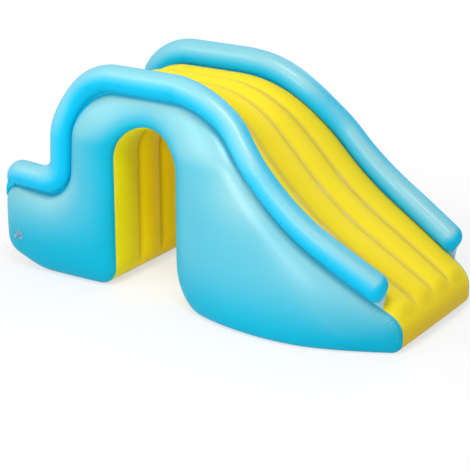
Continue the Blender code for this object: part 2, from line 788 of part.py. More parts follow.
def build_valve(prefix, surface, frame, stem_radius):
    """Flange, push-in stem, hinged plug and inner check flap on a surface."""
    bore = stem_radius - VALVE_WALL
    stem_top = stem_radius * STEM_LENGTH_SHARE
    collar_in = stem_radius + VALVE_FIT
    collar_out = collar_in + VALVE_WALL
    seat = GAP
    flange_top = seat + VALVE_FLANGE_THICKNESS
    hole_radius = collar_out + VALVE_FIT
    hole = helper(prefix + "_hole_cutter", lathe, [
        (0, -VALVE_HOLE_DEPTH), (hole_radius, -VALVE_HOLE_DEPTH),
        (hole_radius, VALVE_HOLE_DEPTH), (0, VALVE_HOLE_DEPTH)])
    hole.matrix_world = frame
    combine(surface, hole, "DIFFERENCE")

    bm = bmesh.new()
    lathe(bm, [(collar_in, flange_top), (collar_in, -WALL), (collar_out, -WALL), (collar_out, seat),
               (stem_radius + VALVE_FLANGE_WIDTH, seat), (stem_radius + VALVE_FLANGE_WIDTH, flange_top)])
    flange = add_object(prefix + "_flange", bm, CLEAR_VINYL, 0.3)
    flange.matrix_world = frame

    bm = bmesh.new()
    lathe(bm, [(bore, stem_top), (bore, -STEM_INSIDE), (stem_radius, -STEM_INSIDE), (stem_radius, stem_top)])
    stem = add_object(prefix + "_stem", bm, CLEAR_VINYL, 0.3)
    lug = helper(prefix + "_lug", block,
                 (bore + VALVE_WALL / 2, -LUG_WIDTH / 2, stem_top - LUG_THICKNESS),
                 (stem_radius + LUG_REACH, LUG_WIDTH / 2, stem_top))
    combine(stem, lug, "UNION")
    lug.parent = stem
    stem.matrix_world = frame

    hinge_reach = stem_radius + LUG_REACH - CAP_THICKNESS / 2
    hinge_height = stem_top + GAP + CAP_THICKNESS / 2
    bm = bmesh.new()
    cap_low, cap_high = -CAP_THICKNESS / 2, CAP_THICKNESS / 2
    skirt_top = bore - VALVE_FIT
    cap_radius = stem_radius + CAP_OVERHANG
    lathe(bm, [(0, cap_low - SKIRT_DEPTH), (skirt_top - SKIRT_TAPER, cap_low - SKIRT_DEPTH),
               (skirt_top, cap_low), (cap_radius, cap_low), (cap_radius, cap_high), (0, cap_high)])
    bmesh.ops.translate(bm, verts=bm.verts, vec=(-hinge_reach, 0, 0))
    plug = add_object(prefix + "_plug", bm, CLEAR_VINYL, 0.3)
    tab = helper(prefix + "_plug_tab", block,
                 (-hinge_reach + bore, -LUG_WIDTH / 2, cap_low), (HINGE_OVERHANG, LUG_WIDTH / 2, cap_high))
    combine(plug, tab, "UNION")
    tab.parent = plug
    plug.matrix_world = frame @ Matrix.Translation((hinge_reach, 0, hinge_height))

    flap_radius = (bore + stem_radius) / 2
    bm = bmesh.new()
    lathe(bm, [(0, -FLAP_THICKNESS), (flap_radius, -FLAP_THICKNESS), (flap_radius, 0), (0, 0)])
    bmesh.ops.translate(bm, verts=bm.verts, vec=(-flap_radius, 0, 0))
    flap = add_object(prefix + "_flap", bm, CLEAR_VINYL, 0.3)
    flap.matrix_world = frame @ Matrix.Translation((flap_radius, 0, -STEM_INSIDE - GAP))


def main():
    """Build every piece of the slide."""
    for old in list(bpy.data.objects):
        bpy.data.objects.remove(old, do_unlink=True)
    right, left = build_sides()
    strip_sheet("rear_panel", SPANS[0][0], STEP_MIDDLE, COARSE_SHARES, YELLOW)
    strip_sheet("climb_panel", STEP_MIDDLE, CREST_SEAM, COARSE_SHARES, YELLOW)
    strip_sheet("slide_deck", CREST_SEAM, DECK_END, FINE_SHARES, YELLOW)
    strip_sheet("front_foot_panel", DECK_END, LINER_START, (0.0, 1.0), YELLOW)
    strip_sheet("arch_liner", LINER_START, LINER_END, FINE_SHARES, YELLOW)
    strip_sheet("rear_foot_panel", LINER_END, SPANS[0][0], (0.0, 1.0), YELLOW)
    for name, y in (("right_web", -GROOVE_PITCH), ("centre_web", 0.0), ("left_web", GROOVE_PITCH)):
        inner_web(name, y)
    rails = {}
    for name, side in (("right", -1), ("left", 1)):
        rails[name] = build_rail(name + "_rail", side)
        build_flange(name + "_rail_flange", side)
        build_gusset(name + "_front_gusset", side)
    bpy.context.view_layer.update()
    frame = surface_frame(right, (REAR_X + MAIN_VALVE_DISTANCE, -HALF, MAIN_VALVE_HEIGHT), (0, -1, 0))
    build_valve("main_valve", right, frame, MAIN_STEM_RADIUS)
    ring_z = STEP_HEIGHT + RAIL_LIFT + RAIL_RADIUS
    for name, side in (("right", -1), ("left", 1)):
        start = (REAR_X + RAIL_VALVE_DISTANCE, side * (HALF + RAIL_OUT), ring_z)
        frame = surface_frame(rails[name], start, (0, -side, 0))
        build_valve(name + "_rail_valve", rails[name], frame, RAIL_STEM_RADIUS)


main()
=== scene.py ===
# %% [markdown]
# # An inflatable water slide
# Thin vinyl sheets are welded into an air-tight body, and the pressure inside gives every sheet its
# crowned, pillowed form. The CAD model already fixes where each sheet begins and ends, so this script
# loads it as a frame that never moves, and then lays finer sheets, tubes and fittings on the same lines.

# %% Load the fixed frame
import json
import math

import bmesh
import bpy
import numpy as np
from mathutils import Matrix, Vector
from mathutils.bvhtree import BVHTree
from mathutils.geometry import delaunay_2d_cdt


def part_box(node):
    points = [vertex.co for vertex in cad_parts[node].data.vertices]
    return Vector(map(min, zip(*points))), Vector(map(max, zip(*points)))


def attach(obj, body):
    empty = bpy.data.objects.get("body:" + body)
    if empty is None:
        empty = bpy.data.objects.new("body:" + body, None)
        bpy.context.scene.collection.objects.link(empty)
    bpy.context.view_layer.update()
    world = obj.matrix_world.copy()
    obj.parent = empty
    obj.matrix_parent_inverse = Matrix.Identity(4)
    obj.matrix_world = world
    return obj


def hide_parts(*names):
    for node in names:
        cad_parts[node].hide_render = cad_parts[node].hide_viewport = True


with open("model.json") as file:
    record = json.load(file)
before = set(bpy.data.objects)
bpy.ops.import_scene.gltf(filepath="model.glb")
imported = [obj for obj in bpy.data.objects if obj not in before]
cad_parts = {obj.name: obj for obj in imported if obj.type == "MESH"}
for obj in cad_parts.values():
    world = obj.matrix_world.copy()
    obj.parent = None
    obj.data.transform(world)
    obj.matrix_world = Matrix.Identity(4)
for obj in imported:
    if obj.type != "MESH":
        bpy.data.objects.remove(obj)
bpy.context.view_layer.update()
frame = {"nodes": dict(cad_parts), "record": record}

# %% [markdown]
# ## The camera
# The photograph was taken with a long lens, from the right of the slide's nose and a little above it.
# A camera needs no target object: its turn about X tips it down, and its turn about Z carries it round.

# %% Place the camera
AZIMUTH = math.radians(32.7)
ELEVATION = math.radians(19.8)

camera_data = bpy.data.cameras.new("studio_camera")
camera_data.sensor_width = 36.0
camera_data.lens = 122.55
camera_data.clip_end = 60.0
camera = bpy.data.objects.new("studio_camera", camera_data)
camera.location = (4.167, -6.477, 3.020)
camera.rotation_euler = (math.pi / 2 - ELEVATION, 0.0, AZIMUTH)
bpy.context.collection.objects.link(camera)
bpy.context.scene.camera = camera
print("camera at", tuple(camera.location))

# %% [markdown]
# ## The body's outline
# Seen from the side, the welded edge of the body is one closed line: keel, rear step, riser, crest,
# chute, lip, and the arch that a pool wall passes through. It is a polygon whose corners are rounded,
# so a short list of corners and radii says it all, and every other piece takes its place from it.

# %% Corners of the outline
LENGTH = 2.34
CREST_HEIGHT = 0.997
STEP_HEIGHT = 0.435
NOSE_X = 1.158
REAR_X = -1.160
ARCH_REAR_X = REAR_X + 0.70
ARCH_FRONT_X = ARCH_REAR_X + 0.387
ARCH_TOP = CREST_HEIGHT - 0.135
HALF = 0.39

CORNERS = [
    (REAR_X + 0.23, 0.0, 0.40),
    (REAR_X, 0.085, 0.10),
    (REAR_X, STEP_HEIGHT, 0.08),
    (REAR_X + 0.43, 0.412, 0.16),
    (REAR_X + 0.43 + 0.028, CREST_HEIGHT, 0.25),
    (REAR_X + 1.245, CREST_HEIGHT, 0.54),
    (REAR_X + 1.73, 0.497, 1.5),
    (NOSE_X, 0.150, 0.12),
    (NOSE_X, 0.0, 0.045),
    (ARCH_FRONT_X, 0.0, 0.20),
    (ARCH_FRONT_X, ARCH_TOP, 0.1935),
    (ARCH_REAR_X, ARCH_TOP, 0.1935),
    (ARCH_REAR_X, 0.0, 0.10),
]
KEEL_FLOOR, KEEL, STEP, RISER_FOOT, CREST, BROW, KNEE, LIP, LIP_BOTTOM = range(9)
ARCH_FRONT_FOOT, ARCH_HEAD_FRONT, ARCH_HEAD_REAR, ARCH_REAR_FOOT = range(9, 13)
print(len(CORNERS), "corners")


# %% Round the corners
def fillet(before, corner, after, radius, turn_step=math.radians(1.5)):
    """Points of the arc that rounds a corner, kept within its two edges."""
    back = (before - corner).normalized()
    ahead = (after - corner).normalized()
    half_angle = back.angle(ahead) / 2
    reach = radius / math.tan(half_angle)
    reach = min(reach, 0.5 * (before - corner).length, 0.5 * (after - corner).length)
    radius = reach * math.tan(half_angle)
    centre = corner + (back + ahead).normalized() * (radius / math.sin(half_angle))
    start = corner + back * reach - centre
    turn = math.pi - 2 * half_angle
    if start.cross(corner + ahead * reach - centre) < 0:
        turn = -turn
    count = max(4, math.ceil(abs(turn) / turn_step))
    points = []
    for i in range(count + 1):
        spun = start.copy()
        spun.rotate(Matrix.Rotation(turn * i / count, 2))
        points.append(centre + spun)
    return points


def round_outline(spacing=0.003):
    """Dense closed outline, and for each corner the number of its arc's first and last point."""
    points, spans = [], []
    for i, (x, z, radius) in enumerate(CORNERS):
        before = Vector(CORNERS[i - 1][:2])
        after = Vector(CORNERS[(i + 1) % len(CORNERS)][:2])
        arc = fillet(before, Vector((x, z)), after, radius)
        if points:
            gap = (arc[0] - points[-1]).length
            steps = math.ceil(gap / spacing)
            points += [points[-1].lerp(arc[0], k / steps) for k in range(1, steps)]
            if gap < 1e-5:
                arc = arc[1:]
        spans.append((len(points), len(points) + len(arc) - 1))
        points += arc
    steps = math.ceil((points[0] - points[-1]).length / spacing)
    points += [points[-1].lerp(points[0], k / steps) for k in range(1, steps + 1)]
    return np.array([tuple(p) for p in points]), spans


DENSE, SPANS = round_outline()
DENSE_ALONG = np.concatenate([[0.0], np.cumsum(np.linalg.norm(np.diff(DENSE, axis=0), axis=1))])
PERIMETER = DENSE_ALONG[-1]
START = [float(DENSE_ALONG[a]) for a, b in SPANS]
END = [float(DENSE_ALONG[b]) for a, b in SPANS]
print("outline", round(PERIMETER, 3), "m round, in", len(DENSE), "points")


# %% Points and outward normals anywhere on the outline
def outline_point(along):
    """Points of the outline at distances along it."""
    along = np.mod(along, PERIMETER)
    return np.stack([np.interp(along, DENSE_ALONG, DENSE[:, axis]) for axis in (0, 1)], axis=-1)


def outline_normal(along, reach=0.006):
    """Outward unit normals, taken over a short stretch so that they turn smoothly."""
    tangent = outline_point(np.asarray(along) + reach) - outline_point(np.asarray(along) - reach)
    tangent /= np.linalg.norm(tangent, axis=-1, keepdims=True)
    return np.stack([-tangent[..., 1], tangent[..., 0]], axis=-1)


def smooth(value):
    """Ease from 0 to 1 as the value goes from 0 to 1."""
    value = np.clip(value, 0.0, 1.0)
    return value * value * (3.0 - 2.0 * value)


STEP_SEAM = START[STEP] + (END[STEP] - START[STEP]) * 3 / 7
CREST_SEAM = END[CREST] + float(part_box("climb_panel")[1][0]) - float(outline_point(END[CREST])[0])
BELT = {
    "rear_panel": (START[KEEL_FLOOR], STEP_SEAM),
    "climb_panel": (STEP_SEAM, CREST_SEAM),
    "slide_deck": (CREST_SEAM, END[LIP_BOTTOM]),
    "front_foot_panel": (END[LIP_BOTTOM], START[ARCH_FRONT_FOOT]),
    "arch_liner": (START[ARCH_FRONT_FOOT], END[ARCH_REAR_FOOT]),
    "rear_foot_panel": (END[ARCH_REAR_FOOT], PERIMETER),
}
for name, (first, last) in BELT.items():
    print(name, "runs", round(first, 3), "to", round(last, 3), "m")

# %% [markdown]
# ## How the air spreads the body
# Air pushes the two side panels outwards where nothing ties them together, so the front leg bows out
# towards the floor, while the crest and the lip are drawn in. One rule moves every point sideways by
# its share of the width, and because all pieces share the rule, their seams stay together.


# %% The bow of the inflated body
def spread(x, z):
    """How far the seams stand out from straight: bowed at the front leg, pinched at the crest and lip."""
    along = np.clip((x - ARCH_FRONT_X) / (NOSE_X - ARCH_FRONT_X), 0.0, 1.0)
    low = np.clip(1.0 - z / 0.5, 0.0, 1.0)
    bow = (0.04 + 0.12 * low ** 2) * np.sin(math.pi * along) ** 0.85
    pinch = 0.06 * smooth((z - 0.75) / (CREST_HEIGHT - 0.75))
    toe_in = 0.034 * smooth((x - NOSE_X) / 0.50 + 1.0)
    return bow - pinch - toe_in


def bowed(points):
    """Move points of the straight body to their places in the inflated one."""
    points = np.array(points, dtype=float)
    shift = spread(points[..., 0], points[..., 2]) * np.clip(points[..., 1] / HALF, -1.0, 1.0)
    points[..., 1] += shift
    return points


def section_heights(name, along):
    """Height of a sheet's crown and of its channels above the outline, at distances along it."""
    first, last = BELT[name]
    crown = np.zeros(len(along))
    channel = np.zeros(len(along))
    if name == "rear_panel":
        crown[:] = 0.010
    if name == "climb_panel":
        rise = smooth((along - first) / (last - first))
        crown[:] = 0.010 + 0.008 * rise
        channel[:] = 0.014 * smooth((along - first) / 0.20) + 0.008 * rise
    if name == "slide_deck":
        crown[:] = 0.012 + 0.006 * smooth((END[LIP] - along) / 0.20)
        lip_turn = START[LIP] + 0.48 * (END[LIP] - START[LIP])
        channel[:] = 0.023 * smooth((lip_turn - along) / 0.070)
    if name == "arch_liner":
        crown[:] = 0.006
        channel[:] = 0.022 * smooth(outline_point(along)[:, 1] / 0.16)
    above_floor = smooth(outline_point(along)[:, 1] / 0.075)
    return crown * above_floor, channel * above_floor


print("widest at the floor by", round(float(spread(0.55, 0.0)) * 1000), "mm a side")

# %% [markdown]
# ## Sheets that go round the body
# The yellow belt is one length of vinyl tied to inner webs along three lines. Each tie is a flat weld
# with a round puff of sheet between it and the next. A grid suits it: rows run round the outline, and
# columns crowd towards the welds, where the surface turns fastest. Each point also remembers how far it
# is along the outline, from the side seam and from the nearest weld, for the material to read.

# %% Columns across the belt
GROOVES = (-0.185, 0.0, 0.185)
WELD_HALF = 0.0045
SHEET_WALL = 0.0025
PUFF_COLUMNS = 13


def columns_across(reach):
    """Places across the belt, the share of the channel's height there, and the distance to a weld."""
    lines = [-reach, *GROOVES, reach]
    places, shares = [], []
    for k, (left, right) in enumerate(zip(lines, lines[1:])):
        left += WELD_HALF if k > 0 else 0.0
        right -= WELD_HALF if k < len(lines) - 2 else 0.0
        t = 0.5 - 0.5 * np.cos(np.linspace(0.0, math.pi, PUFF_COLUMNS))
        places += list(left + (right - left) * t)
        shares += list((1.0 - np.abs(2 * t - 1) ** 2.1) ** 0.92)
        if k < len(lines) - 2:
            places.append(lines[k + 1])
            shares.append(-0.02)
    places, shares = np.array(places), np.array(shares)
    to_weld = np.min(np.abs(places[:, None] - np.array(GROOVES)), axis=1)
    return places, shares, to_weld


print(len(columns_across(HALF)[0]), "columns across")

# %% Meshes from points
# Direction that the painted light and highlights come from.
LIT_SIDE = (0.40, -0.70, 0.59)
SHARP = math.radians(55)


def keep_marks(mesh, name, values):
    """Store one number or one vector for each point of a mesh, by their shape."""
    values = np.asarray(values, dtype=np.float32)
    single = values.ndim == 1
    layer = mesh.attributes.new(name, "FLOAT" if single else "FLOAT_VECTOR", "POINT")
    layer.data.foreach_set("value" if single else "vector", values.ravel())


def turn_outwards(mesh):
    """Turn the faces of a closed mesh outwards and shade them smooth."""
    made = bmesh.new()
    made.from_mesh(mesh)
    bmesh.ops.recalc_face_normals(made, faces=made.faces)
    made.to_mesh(mesh)
    made.free()
    mesh.shade_smooth()


def linked(name, mesh):
    """Object of a mesh, linked to the scene."""
    made = bpy.data.objects.new(name, mesh)
    bpy.context.collection.objects.link(made)
    return made


def mesh_object(name, points, faces, marks):
    """Closed mesh object with outward faces and one vector for each point, kept as seam_marks."""
    mesh = bpy.data.meshes.new(name)
    mesh.from_pydata([tuple(p) for p in points], [], [tuple(f) for f in faces])
    keep_marks(mesh, "seam_marks", marks)
    turn_outwards(mesh)
    mesh.set_sharp_from_angle(angle=SHARP)
    return linked(name, mesh)


def path_object(name, points, mark, values):
    """Polyline object with a value at each point, for a node tree to work on."""
    line = bpy.data.meshes.new(name)
    line.from_pydata([tuple(p) for p in points], [(k, k + 1) for k in range(len(points) - 1)], [])
    keep_marks(line, mark, values)
    return linked(name, line)


def raised(point, normal, height, sideways):
    """Rows of points on the outline, raised along its normals, set sideways and bowed with the body."""
    layer = np.empty(height.shape + (3,))
    layer[..., 0] = point[:, :1] + normal[:, :1] * height
    layer[..., 1] = sideways
    layer[..., 2] = point[:, 1:] + normal[:, 1:] * height
    return bowed(layer).reshape(-1, 3)


def closed_grid(rows, columns):
    """Faces of a sheet with two layers of rows x columns points and walls round its rim."""
    count = rows * columns
    index = np.arange(count).reshape(rows, columns)
    top = np.stack([index[:-1, :-1], index[:-1, 1:], index[1:, 1:], index[1:, :-1]], axis=-1)
    top = top.reshape(-1, 4)
    rim = np.concatenate([index[0, :-1], index[:-1, -1], index[-1, :0:-1], index[:0:-1, 0]])
    after = np.roll(rim, -1)
    walls = np.stack([rim, rim + count, after + count, after], axis=-1)
    return np.concatenate([top, top[:, ::-1] + count, walls])


# %% Where light and shade are painted on the film, from the normals
def point_normals(mesh):
    """Normals of a mesh's points, one row for each."""
    normals = np.empty(len(mesh.vertices) * 3, dtype=np.float32)
    mesh.vertex_normals.foreach_get("vector", normals)
    return normals.reshape(-1, 3)


def light_from_facing(mesh, up=0.8, aside=0.0, level=0.20, span=0.75):
    """How much painted light each point of a mesh gets: most where it faces up, rear and perhaps right."""
    normals = point_normals(mesh)
    lean = np.where(normals[:, 0] < 0, -0.50, -0.25) * normals[:, 0]
    return smooth((up * normals[:, 2] - aside * normals[:, 1] + lean + level) / span)


def facing_front(mesh, direction, softness=0.06):
    """For each point of a mesh, how near its normal is to one direction, as a soft spot."""
    return np.exp((point_normals(mesh) @ np.array(direction) - 1.0) / softness)


def turned_from_light(mesh, power, mirrored=False):
    """How far each point of a mesh turns from the lit side, where painted shade keeps the deep colour."""
    normals = point_normals(mesh)
    if mirrored:
        normals[:, 1] = -np.abs(normals[:, 1])
    away = 1.0 - np.clip(normals @ np.array(LIT_SIDE), 0.0, 1.0)
    return np.clip(1.2 * away ** power, 0.0, 1.0)


def facing_ground(mesh):
    """For each point of a mesh, how far it turns away from the sky, as the deck's lip does."""
    return smooth((0.62 - point_normals(mesh)[:, 2]) / 0.90)


print("sunny side towards", LIT_SIDE)

# %% Lay the belt's six sheets
SHEET_GAP = 0.00015
SIDE_GAP = 0.0003
ROW_SPACING = 0.011
FLAT_MARK = 0.03


def belt_sheet(name):
    """One sheet of the belt, from its first weld line to its last."""
    first, last = BELT[name]
    rows = max(3, math.ceil((last - first) / ROW_SPACING))
    along = np.linspace(first + SHEET_GAP, last - SHEET_GAP, rows)
    point, normal = outline_point(along), outline_normal(along)
    crown, channel = section_heights(name, along)
    places, shares, to_weld = columns_across(HALF - SIDE_GAP)
    rise = crown[:, None] * (1.0 - (places / HALF) ** 2) + channel[:, None] * shares
    layers = [raised(point, normal, rise - depth, places) for depth in (0.0, SHEET_WALL)]
    marks = np.empty(rise.shape + (3,))
    marks[..., 0] = along[:, None]
    marks[..., 1] = HALF - np.abs(places)
    marks[..., 2] = to_weld + FLAT_MARK * (1.0 - channel / max(1e-6, channel.max()))[:, None]
    marks = np.tile(marks.reshape(-1, 3), (2, 1))
    sheet = mesh_object("belt_" + name, np.concatenate(layers), closed_grid(*rise.shape), marks)
    if name == "slide_deck":
        # Painted shade: the deck's lip turns ochre where it faces away from the sky.
        keep_marks(sheet.data, "painted_shading", facing_ground(sheet.data))
    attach(sheet, "slide_body")
    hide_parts(name)
    return sheet


belt = {name: belt_sheet(name) for name in BELT}
print("belt", sum(len(sheet.data.polygons) for sheet in belt.values()), "faces")

# %% [markdown]
# ## Side panels
# Each side is one flat sheet welded round its whole rim, and air lifts it like a pillow. The height of
# such a pillow follows a membrane under pressure, and its root rises steeply from the weld and flattens
# in the middle. Points are spread over the plan, joined into triangles, and the membrane's equation is
# solved on them, so that the arch and the step shape the bulge as they do in the real sheet.

# %% Points over the plan of a side panel
RIM_SPACING = 0.0042
GRID_STEP = 0.0155
RINGS = ((0.0028, 1), (0.0065, 1), (0.0110, 1), (0.0165, 1), (0.0230, 2), (0.0310, 3))
SIDE_BULGE = 0.12


def rim_lengths():
    """Distances round the outline of the rim's points, with every weld line among them."""
    lengths = []
    for first, last in BELT.values():
        count = max(2, math.ceil((last - first) / RIM_SPACING))
        lengths += list(np.linspace(first, last, count, endpoint=False))
    return np.array(lengths)


RIM_ALONG = rim_lengths()
RIM = outline_point(RIM_ALONG)
RIM_NORMAL = outline_normal(RIM_ALONG)


def rim_distance(places):
    """Distance from each place to the rim, and how far along the rim the nearest point is."""
    after = np.roll(RIM, -1, axis=0)
    edge = after - RIM
    length = np.linalg.norm(edge, axis=1)
    nearest, along = [], []
    for chunk in np.array_split(places, max(1, len(places) // 800)):
        offset = chunk[:, None, :] - RIM
        share = np.clip(np.sum(offset * edge, axis=2) / length ** 2, 0.0, 1.0)
        distance = np.linalg.norm(offset - edge * share[..., None], axis=2)
        best = np.argmin(distance, axis=1)
        rows = np.arange(len(chunk))
        nearest.append(distance[rows, best])
        along.append(RIM_ALONG[best] + share[rows, best] * length[best])
    return np.concatenate(nearest), np.concatenate(along)


def inside_rim(places):
    """Whether each place lies within the rim, by counting crossings."""
    after = np.roll(RIM, -1, axis=0)
    x, z = places[:, :1], places[:, 1:]
    crosses = (RIM[:, 1] > z) != (after[:, 1] > z)
    run = np.where(after[:, 1] == RIM[:, 1], 1.0, after[:, 1] - RIM[:, 1])
    at = RIM[:, 0] + (z - RIM[:, 1]) / run * (after[:, 0] - RIM[:, 0])
    return np.sum(crosses & (x < at), axis=1) % 2 == 1


low, high = RIM.min(axis=0), RIM.max(axis=0)
across, up = np.meshgrid(np.arange(low[0], high[0], GRID_STEP),
                         np.arange(low[1], high[1], GRID_STEP * math.sqrt(0.75)))
across[1::2] += GRID_STEP / 2
grid = np.stack([across.ravel(), up.ravel()], axis=1)
grid = grid[inside_rim(grid)]
grid = grid[rim_distance(grid)[0] > RINGS[-1][0] + 0.55 * GRID_STEP]
plan = np.concatenate([RIM] + [(RIM - RIM_NORMAL * inset)[::stride] for inset, stride in RINGS] + [grid])
print(len(plan), "points on the plan")

# %% Join the plan into triangles
rim_count = len(RIM)
edges = [(k, (k + 1) % rim_count) for k in range(rim_count)]
joined = delaunay_2d_cdt([Vector(p) for p in plan], edges, [list(range(rim_count))], 1, 1e-7)
plan = np.array([tuple(p) for p in joined[0]])
triangles = np.array([tuple(face) for face in joined[2]])
print(len(triangles), "triangles")


# %% Lift the membrane
MOST_STEPS = 1200
SETTLED = 1e-16


def membrane_height(points, triangles, fixed):
    """Height of a membrane under even pressure, held at its first points, as a share of the highest."""
    corner = points[triangles]
    opposite = np.roll(corner, -1, axis=1) - np.roll(corner, 1, axis=1)
    first, second = corner[:, 1] - corner[:, 0], corner[:, 2] - corner[:, 0]
    area = 0.5 * np.abs(first[:, 0] * second[:, 1] - first[:, 1] * second[:, 0])
    stiffness = np.einsum("tik,tjk->tij", opposite, opposite) / (4 * area[:, None, None])
    rows = np.repeat(triangles, 3, axis=1).ravel()
    columns = np.tile(triangles, (1, 3)).ravel()
    values = stiffness.ravel()
    free = np.arange(len(points)) >= fixed
    load = np.bincount(triangles.ravel(), np.repeat(area / 3, 3), len(points)) * free
    diagonal = np.bincount(rows[rows == columns], values[rows == columns], len(points))
    height = np.zeros(len(points))
    residual = load.copy()
    scaled = residual / diagonal
    direction = scaled.copy()
    energy = residual @ scaled
    for _ in range(MOST_STEPS):
        pushed = np.bincount(rows, values * direction[columns], len(points)) * free
        step = energy / (direction @ pushed)
        height += step * direction
        residual -= step * pushed
        scaled = residual / diagonal
        following = residual @ scaled
        if following < SETTLED * (load @ load):
            break
        direction = scaled + following / energy * direction
        energy = following
    return np.sqrt(np.clip(height / height.max(), 0.0, None))


stretch = membrane_height(plan, triangles, rim_count)
lift = SIDE_BULGE * stretch
print("bulge", round(lift.max() * 1000), "mm")

# %% Folds that the weld gathers into the sheet
FOLD_PITCH = 0.0165
FOLD_HEIGHT = 0.0018
FOLD_INSET = 0.013
GATHERED = ((START[RISER_FOOT] - 0.06, START[CREST] + 0.10, 1.0),
            (START[LIP] - 0.16, END[LIP_BOTTOM], 0.9),
            (END[ARCH_HEAD_REAR] + 0.20, END[ARCH_REAR_FOOT], 0.8),
            (START[ARCH_FRONT_FOOT], END[ARCH_FRONT_FOOT] + 0.25, 0.6))


def weld_folds(along, distance):
    """Height of the fine folds beside the weld, strongest where the outline turns most."""
    amount = np.full(len(along), 0.25)
    for first, last, strength in GATHERED:
        inside = smooth((along - first) / 0.10) * smooth((last - along) / 0.10)
        amount = np.maximum(amount, strength * inside)
    amount *= 0.72 + 0.28 * np.sin(along * 31.0 + 2.0 * np.sin(along * 7.0))
    turns = along / FOLD_PITCH + 0.40 * np.sin(along * 21.0) + 0.25 * np.sin(along * 57.0 + 1.0)
    wave = np.sin(2 * math.pi * (turns + distance / 0.055))
    near = distance / FOLD_INSET
    return FOLD_HEIGHT * amount * wave * near * np.exp(1.0 - near)


to_rim, rim_place = rim_distance(plan)
lift += weld_folds(rim_place, to_rim)
print("folds up to", round(float(np.abs(weld_folds(rim_place, to_rim)).max()) * 1000, 2), "mm")

# %% Where light and shade are painted on the side panels
ARCH_FADE = 0.11
FLOOR_FADE = 0.28
WELD_FADE = 0.020
SPOT = (0.33, 0.66)
SPOT_REACH = (0.17, 0.20)

# Painted shade: the painted light fades out near the arch, beside the welds and towards the floor.
by_arch = (rim_place > START[ARCH_FRONT_FOOT]) & (rim_place < END[ARCH_REAR_FOOT])
out_of_shade = np.where(by_arch, 0.40 + 0.60 * smooth(to_rim / ARCH_FADE), 1.0)
out_of_shade *= 0.35 + 0.65 * smooth(to_rim / WELD_FADE)
fade_height = 0.05 + FLOOR_FADE * (1.0 - smooth((plan[:, 0] - 0.62) / 0.35))
out_of_shade *= 0.1 + 0.9 * smooth((plan[:, 1] - 0.03) / fade_height)
# Painted highlight: a pale spot high on the front leg.
highlight_spot = 0.5 * np.exp(-((plan[:, 0] - SPOT[0]) / SPOT_REACH[0]) ** 2
                           - ((plan[:, 1] - SPOT[1]) / SPOT_REACH[1]) ** 2)
print("paler film on", int(np.sum(out_of_shade > 0.7)), "of", len(plan), "points")


# %% Build both side panels
def side_panel(name, side):
    """Pillowed side sheet with the arch cut out, its rim flat on the seam."""
    outer = np.stack([plan[:, 0], side * (HALF + lift), plan[:, 1]], axis=1)
    inner = outer.copy()
    inner[rim_count:, 1] -= side * SHEET_WALL
    inner[:rim_count, 0] -= RIM_NORMAL[:, 0] * SHEET_WALL
    inner[:rim_count, 2] -= RIM_NORMAL[:, 1] * SHEET_WALL
    count = len(plan)
    rim = np.arange(rim_count)
    after = np.roll(rim, -1)
    faces = [tuple(f) for f in triangles] + [tuple(f + count) for f in triangles[:, ::-1]]
    faces += [tuple(f) for f in np.stack([rim, after, after + count, rim + count], axis=1)]
    marks = np.stack([rim_place, to_rim, stretch], axis=1)
    panel = mesh_object(name, bowed(np.concatenate([outer, inner])), faces, np.tile(marks, (2, 1)))
    # Painted light and shade: paler where the sheet faces up and to the rear, with the painted highlight
    # spot, and deep where the sheet turns from the lit side.
    painted_light = light_from_facing(panel.data) * np.tile(out_of_shade, 2) + np.tile(highlight_spot, 2)
    turned_away = turned_from_light(panel.data, 1.8, mirrored=True)
    keep_marks(panel.data, "painted_shading", np.clip(painted_light, 0.0, 1.0) * (1.0 - turned_away))
    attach(panel, "slide_body")
    return panel


sides = {"right": side_panel("right_side_pillow", -1), "left": side_panel("left_side_pillow", 1)}
for hand, panel in sides.items():
    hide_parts(hand + "_side_panel")
print("side pillows", len(sides["right"].data.polygons), "faces each")

# %% [markdown]
# ## Rail tubes
# A rail is a tube of vinyl that rides on the edge seam, from the rear step over the crest to the lip.
# A tube along a path is what a sweep is for, so Geometry Nodes turn a line with a radius at each point
# into the tube. The radius closes the tube as a dome at the front, and draws it in at the rear, where
# the two layers are gathered into the weld.

# %% A node tree that sweeps a tube along a line
FLOAT, VECTOR, COLOUR = "NodeSocketFloat", "NodeSocketVector", "NodeSocketColor"
GEOMETRY, WHOLE, FINISH = "NodeSocketGeometry", "NodeSocketInt", "NodeSocketMaterial"


def new_tree(name, kind, inputs, outputs):
    """Empty node tree with named sockets; returns it with its two end nodes."""
    tree = bpy.data.node_groups.new(name, kind)
    for label, socket_type, default in inputs:
        socket = tree.interface.new_socket(name=label, in_out="INPUT", socket_type=socket_type)
        if default is not None:
            socket.default_value = default
    for label, socket_type in outputs:
        tree.interface.new_socket(name=label, in_out="OUTPUT", socket_type=socket_type)
    return tree, tree.nodes.new("NodeGroupInput"), tree.nodes.new("NodeGroupOutput")


def feed(tree, value, socket):
    """Give a socket a value, or link it from a (node, name or number) pair."""
    if isinstance(value, tuple) and isinstance(value[0], bpy.types.Node):
        tree.links.new(value[0].outputs[value[1]], socket)
    else:
        socket.default_value = value


def add_node(tree, kind, inputs=None, **settings):
    """New node with its settings made and its inputs fed."""
    node = tree.nodes.new(kind)
    for name, value in settings.items():
        setattr(node, name, value)
    for name, value in (inputs or {}).items():
        feed(tree, value, node.inputs[name])
    return node


def end_tree(tree, start, end, last):
    """Close a geometry tree: its instances made real, in the material given to it."""
    whole = add_node(tree, "GeometryNodeRealizeInstances", {0: (last, 0)})
    finish = add_node(tree, "GeometryNodeSetMaterial",
                      {"Geometry": (whole, 0), "Material": (start, "Finish")})
    feed(tree, (finish, 0), end.inputs[0])
    return tree


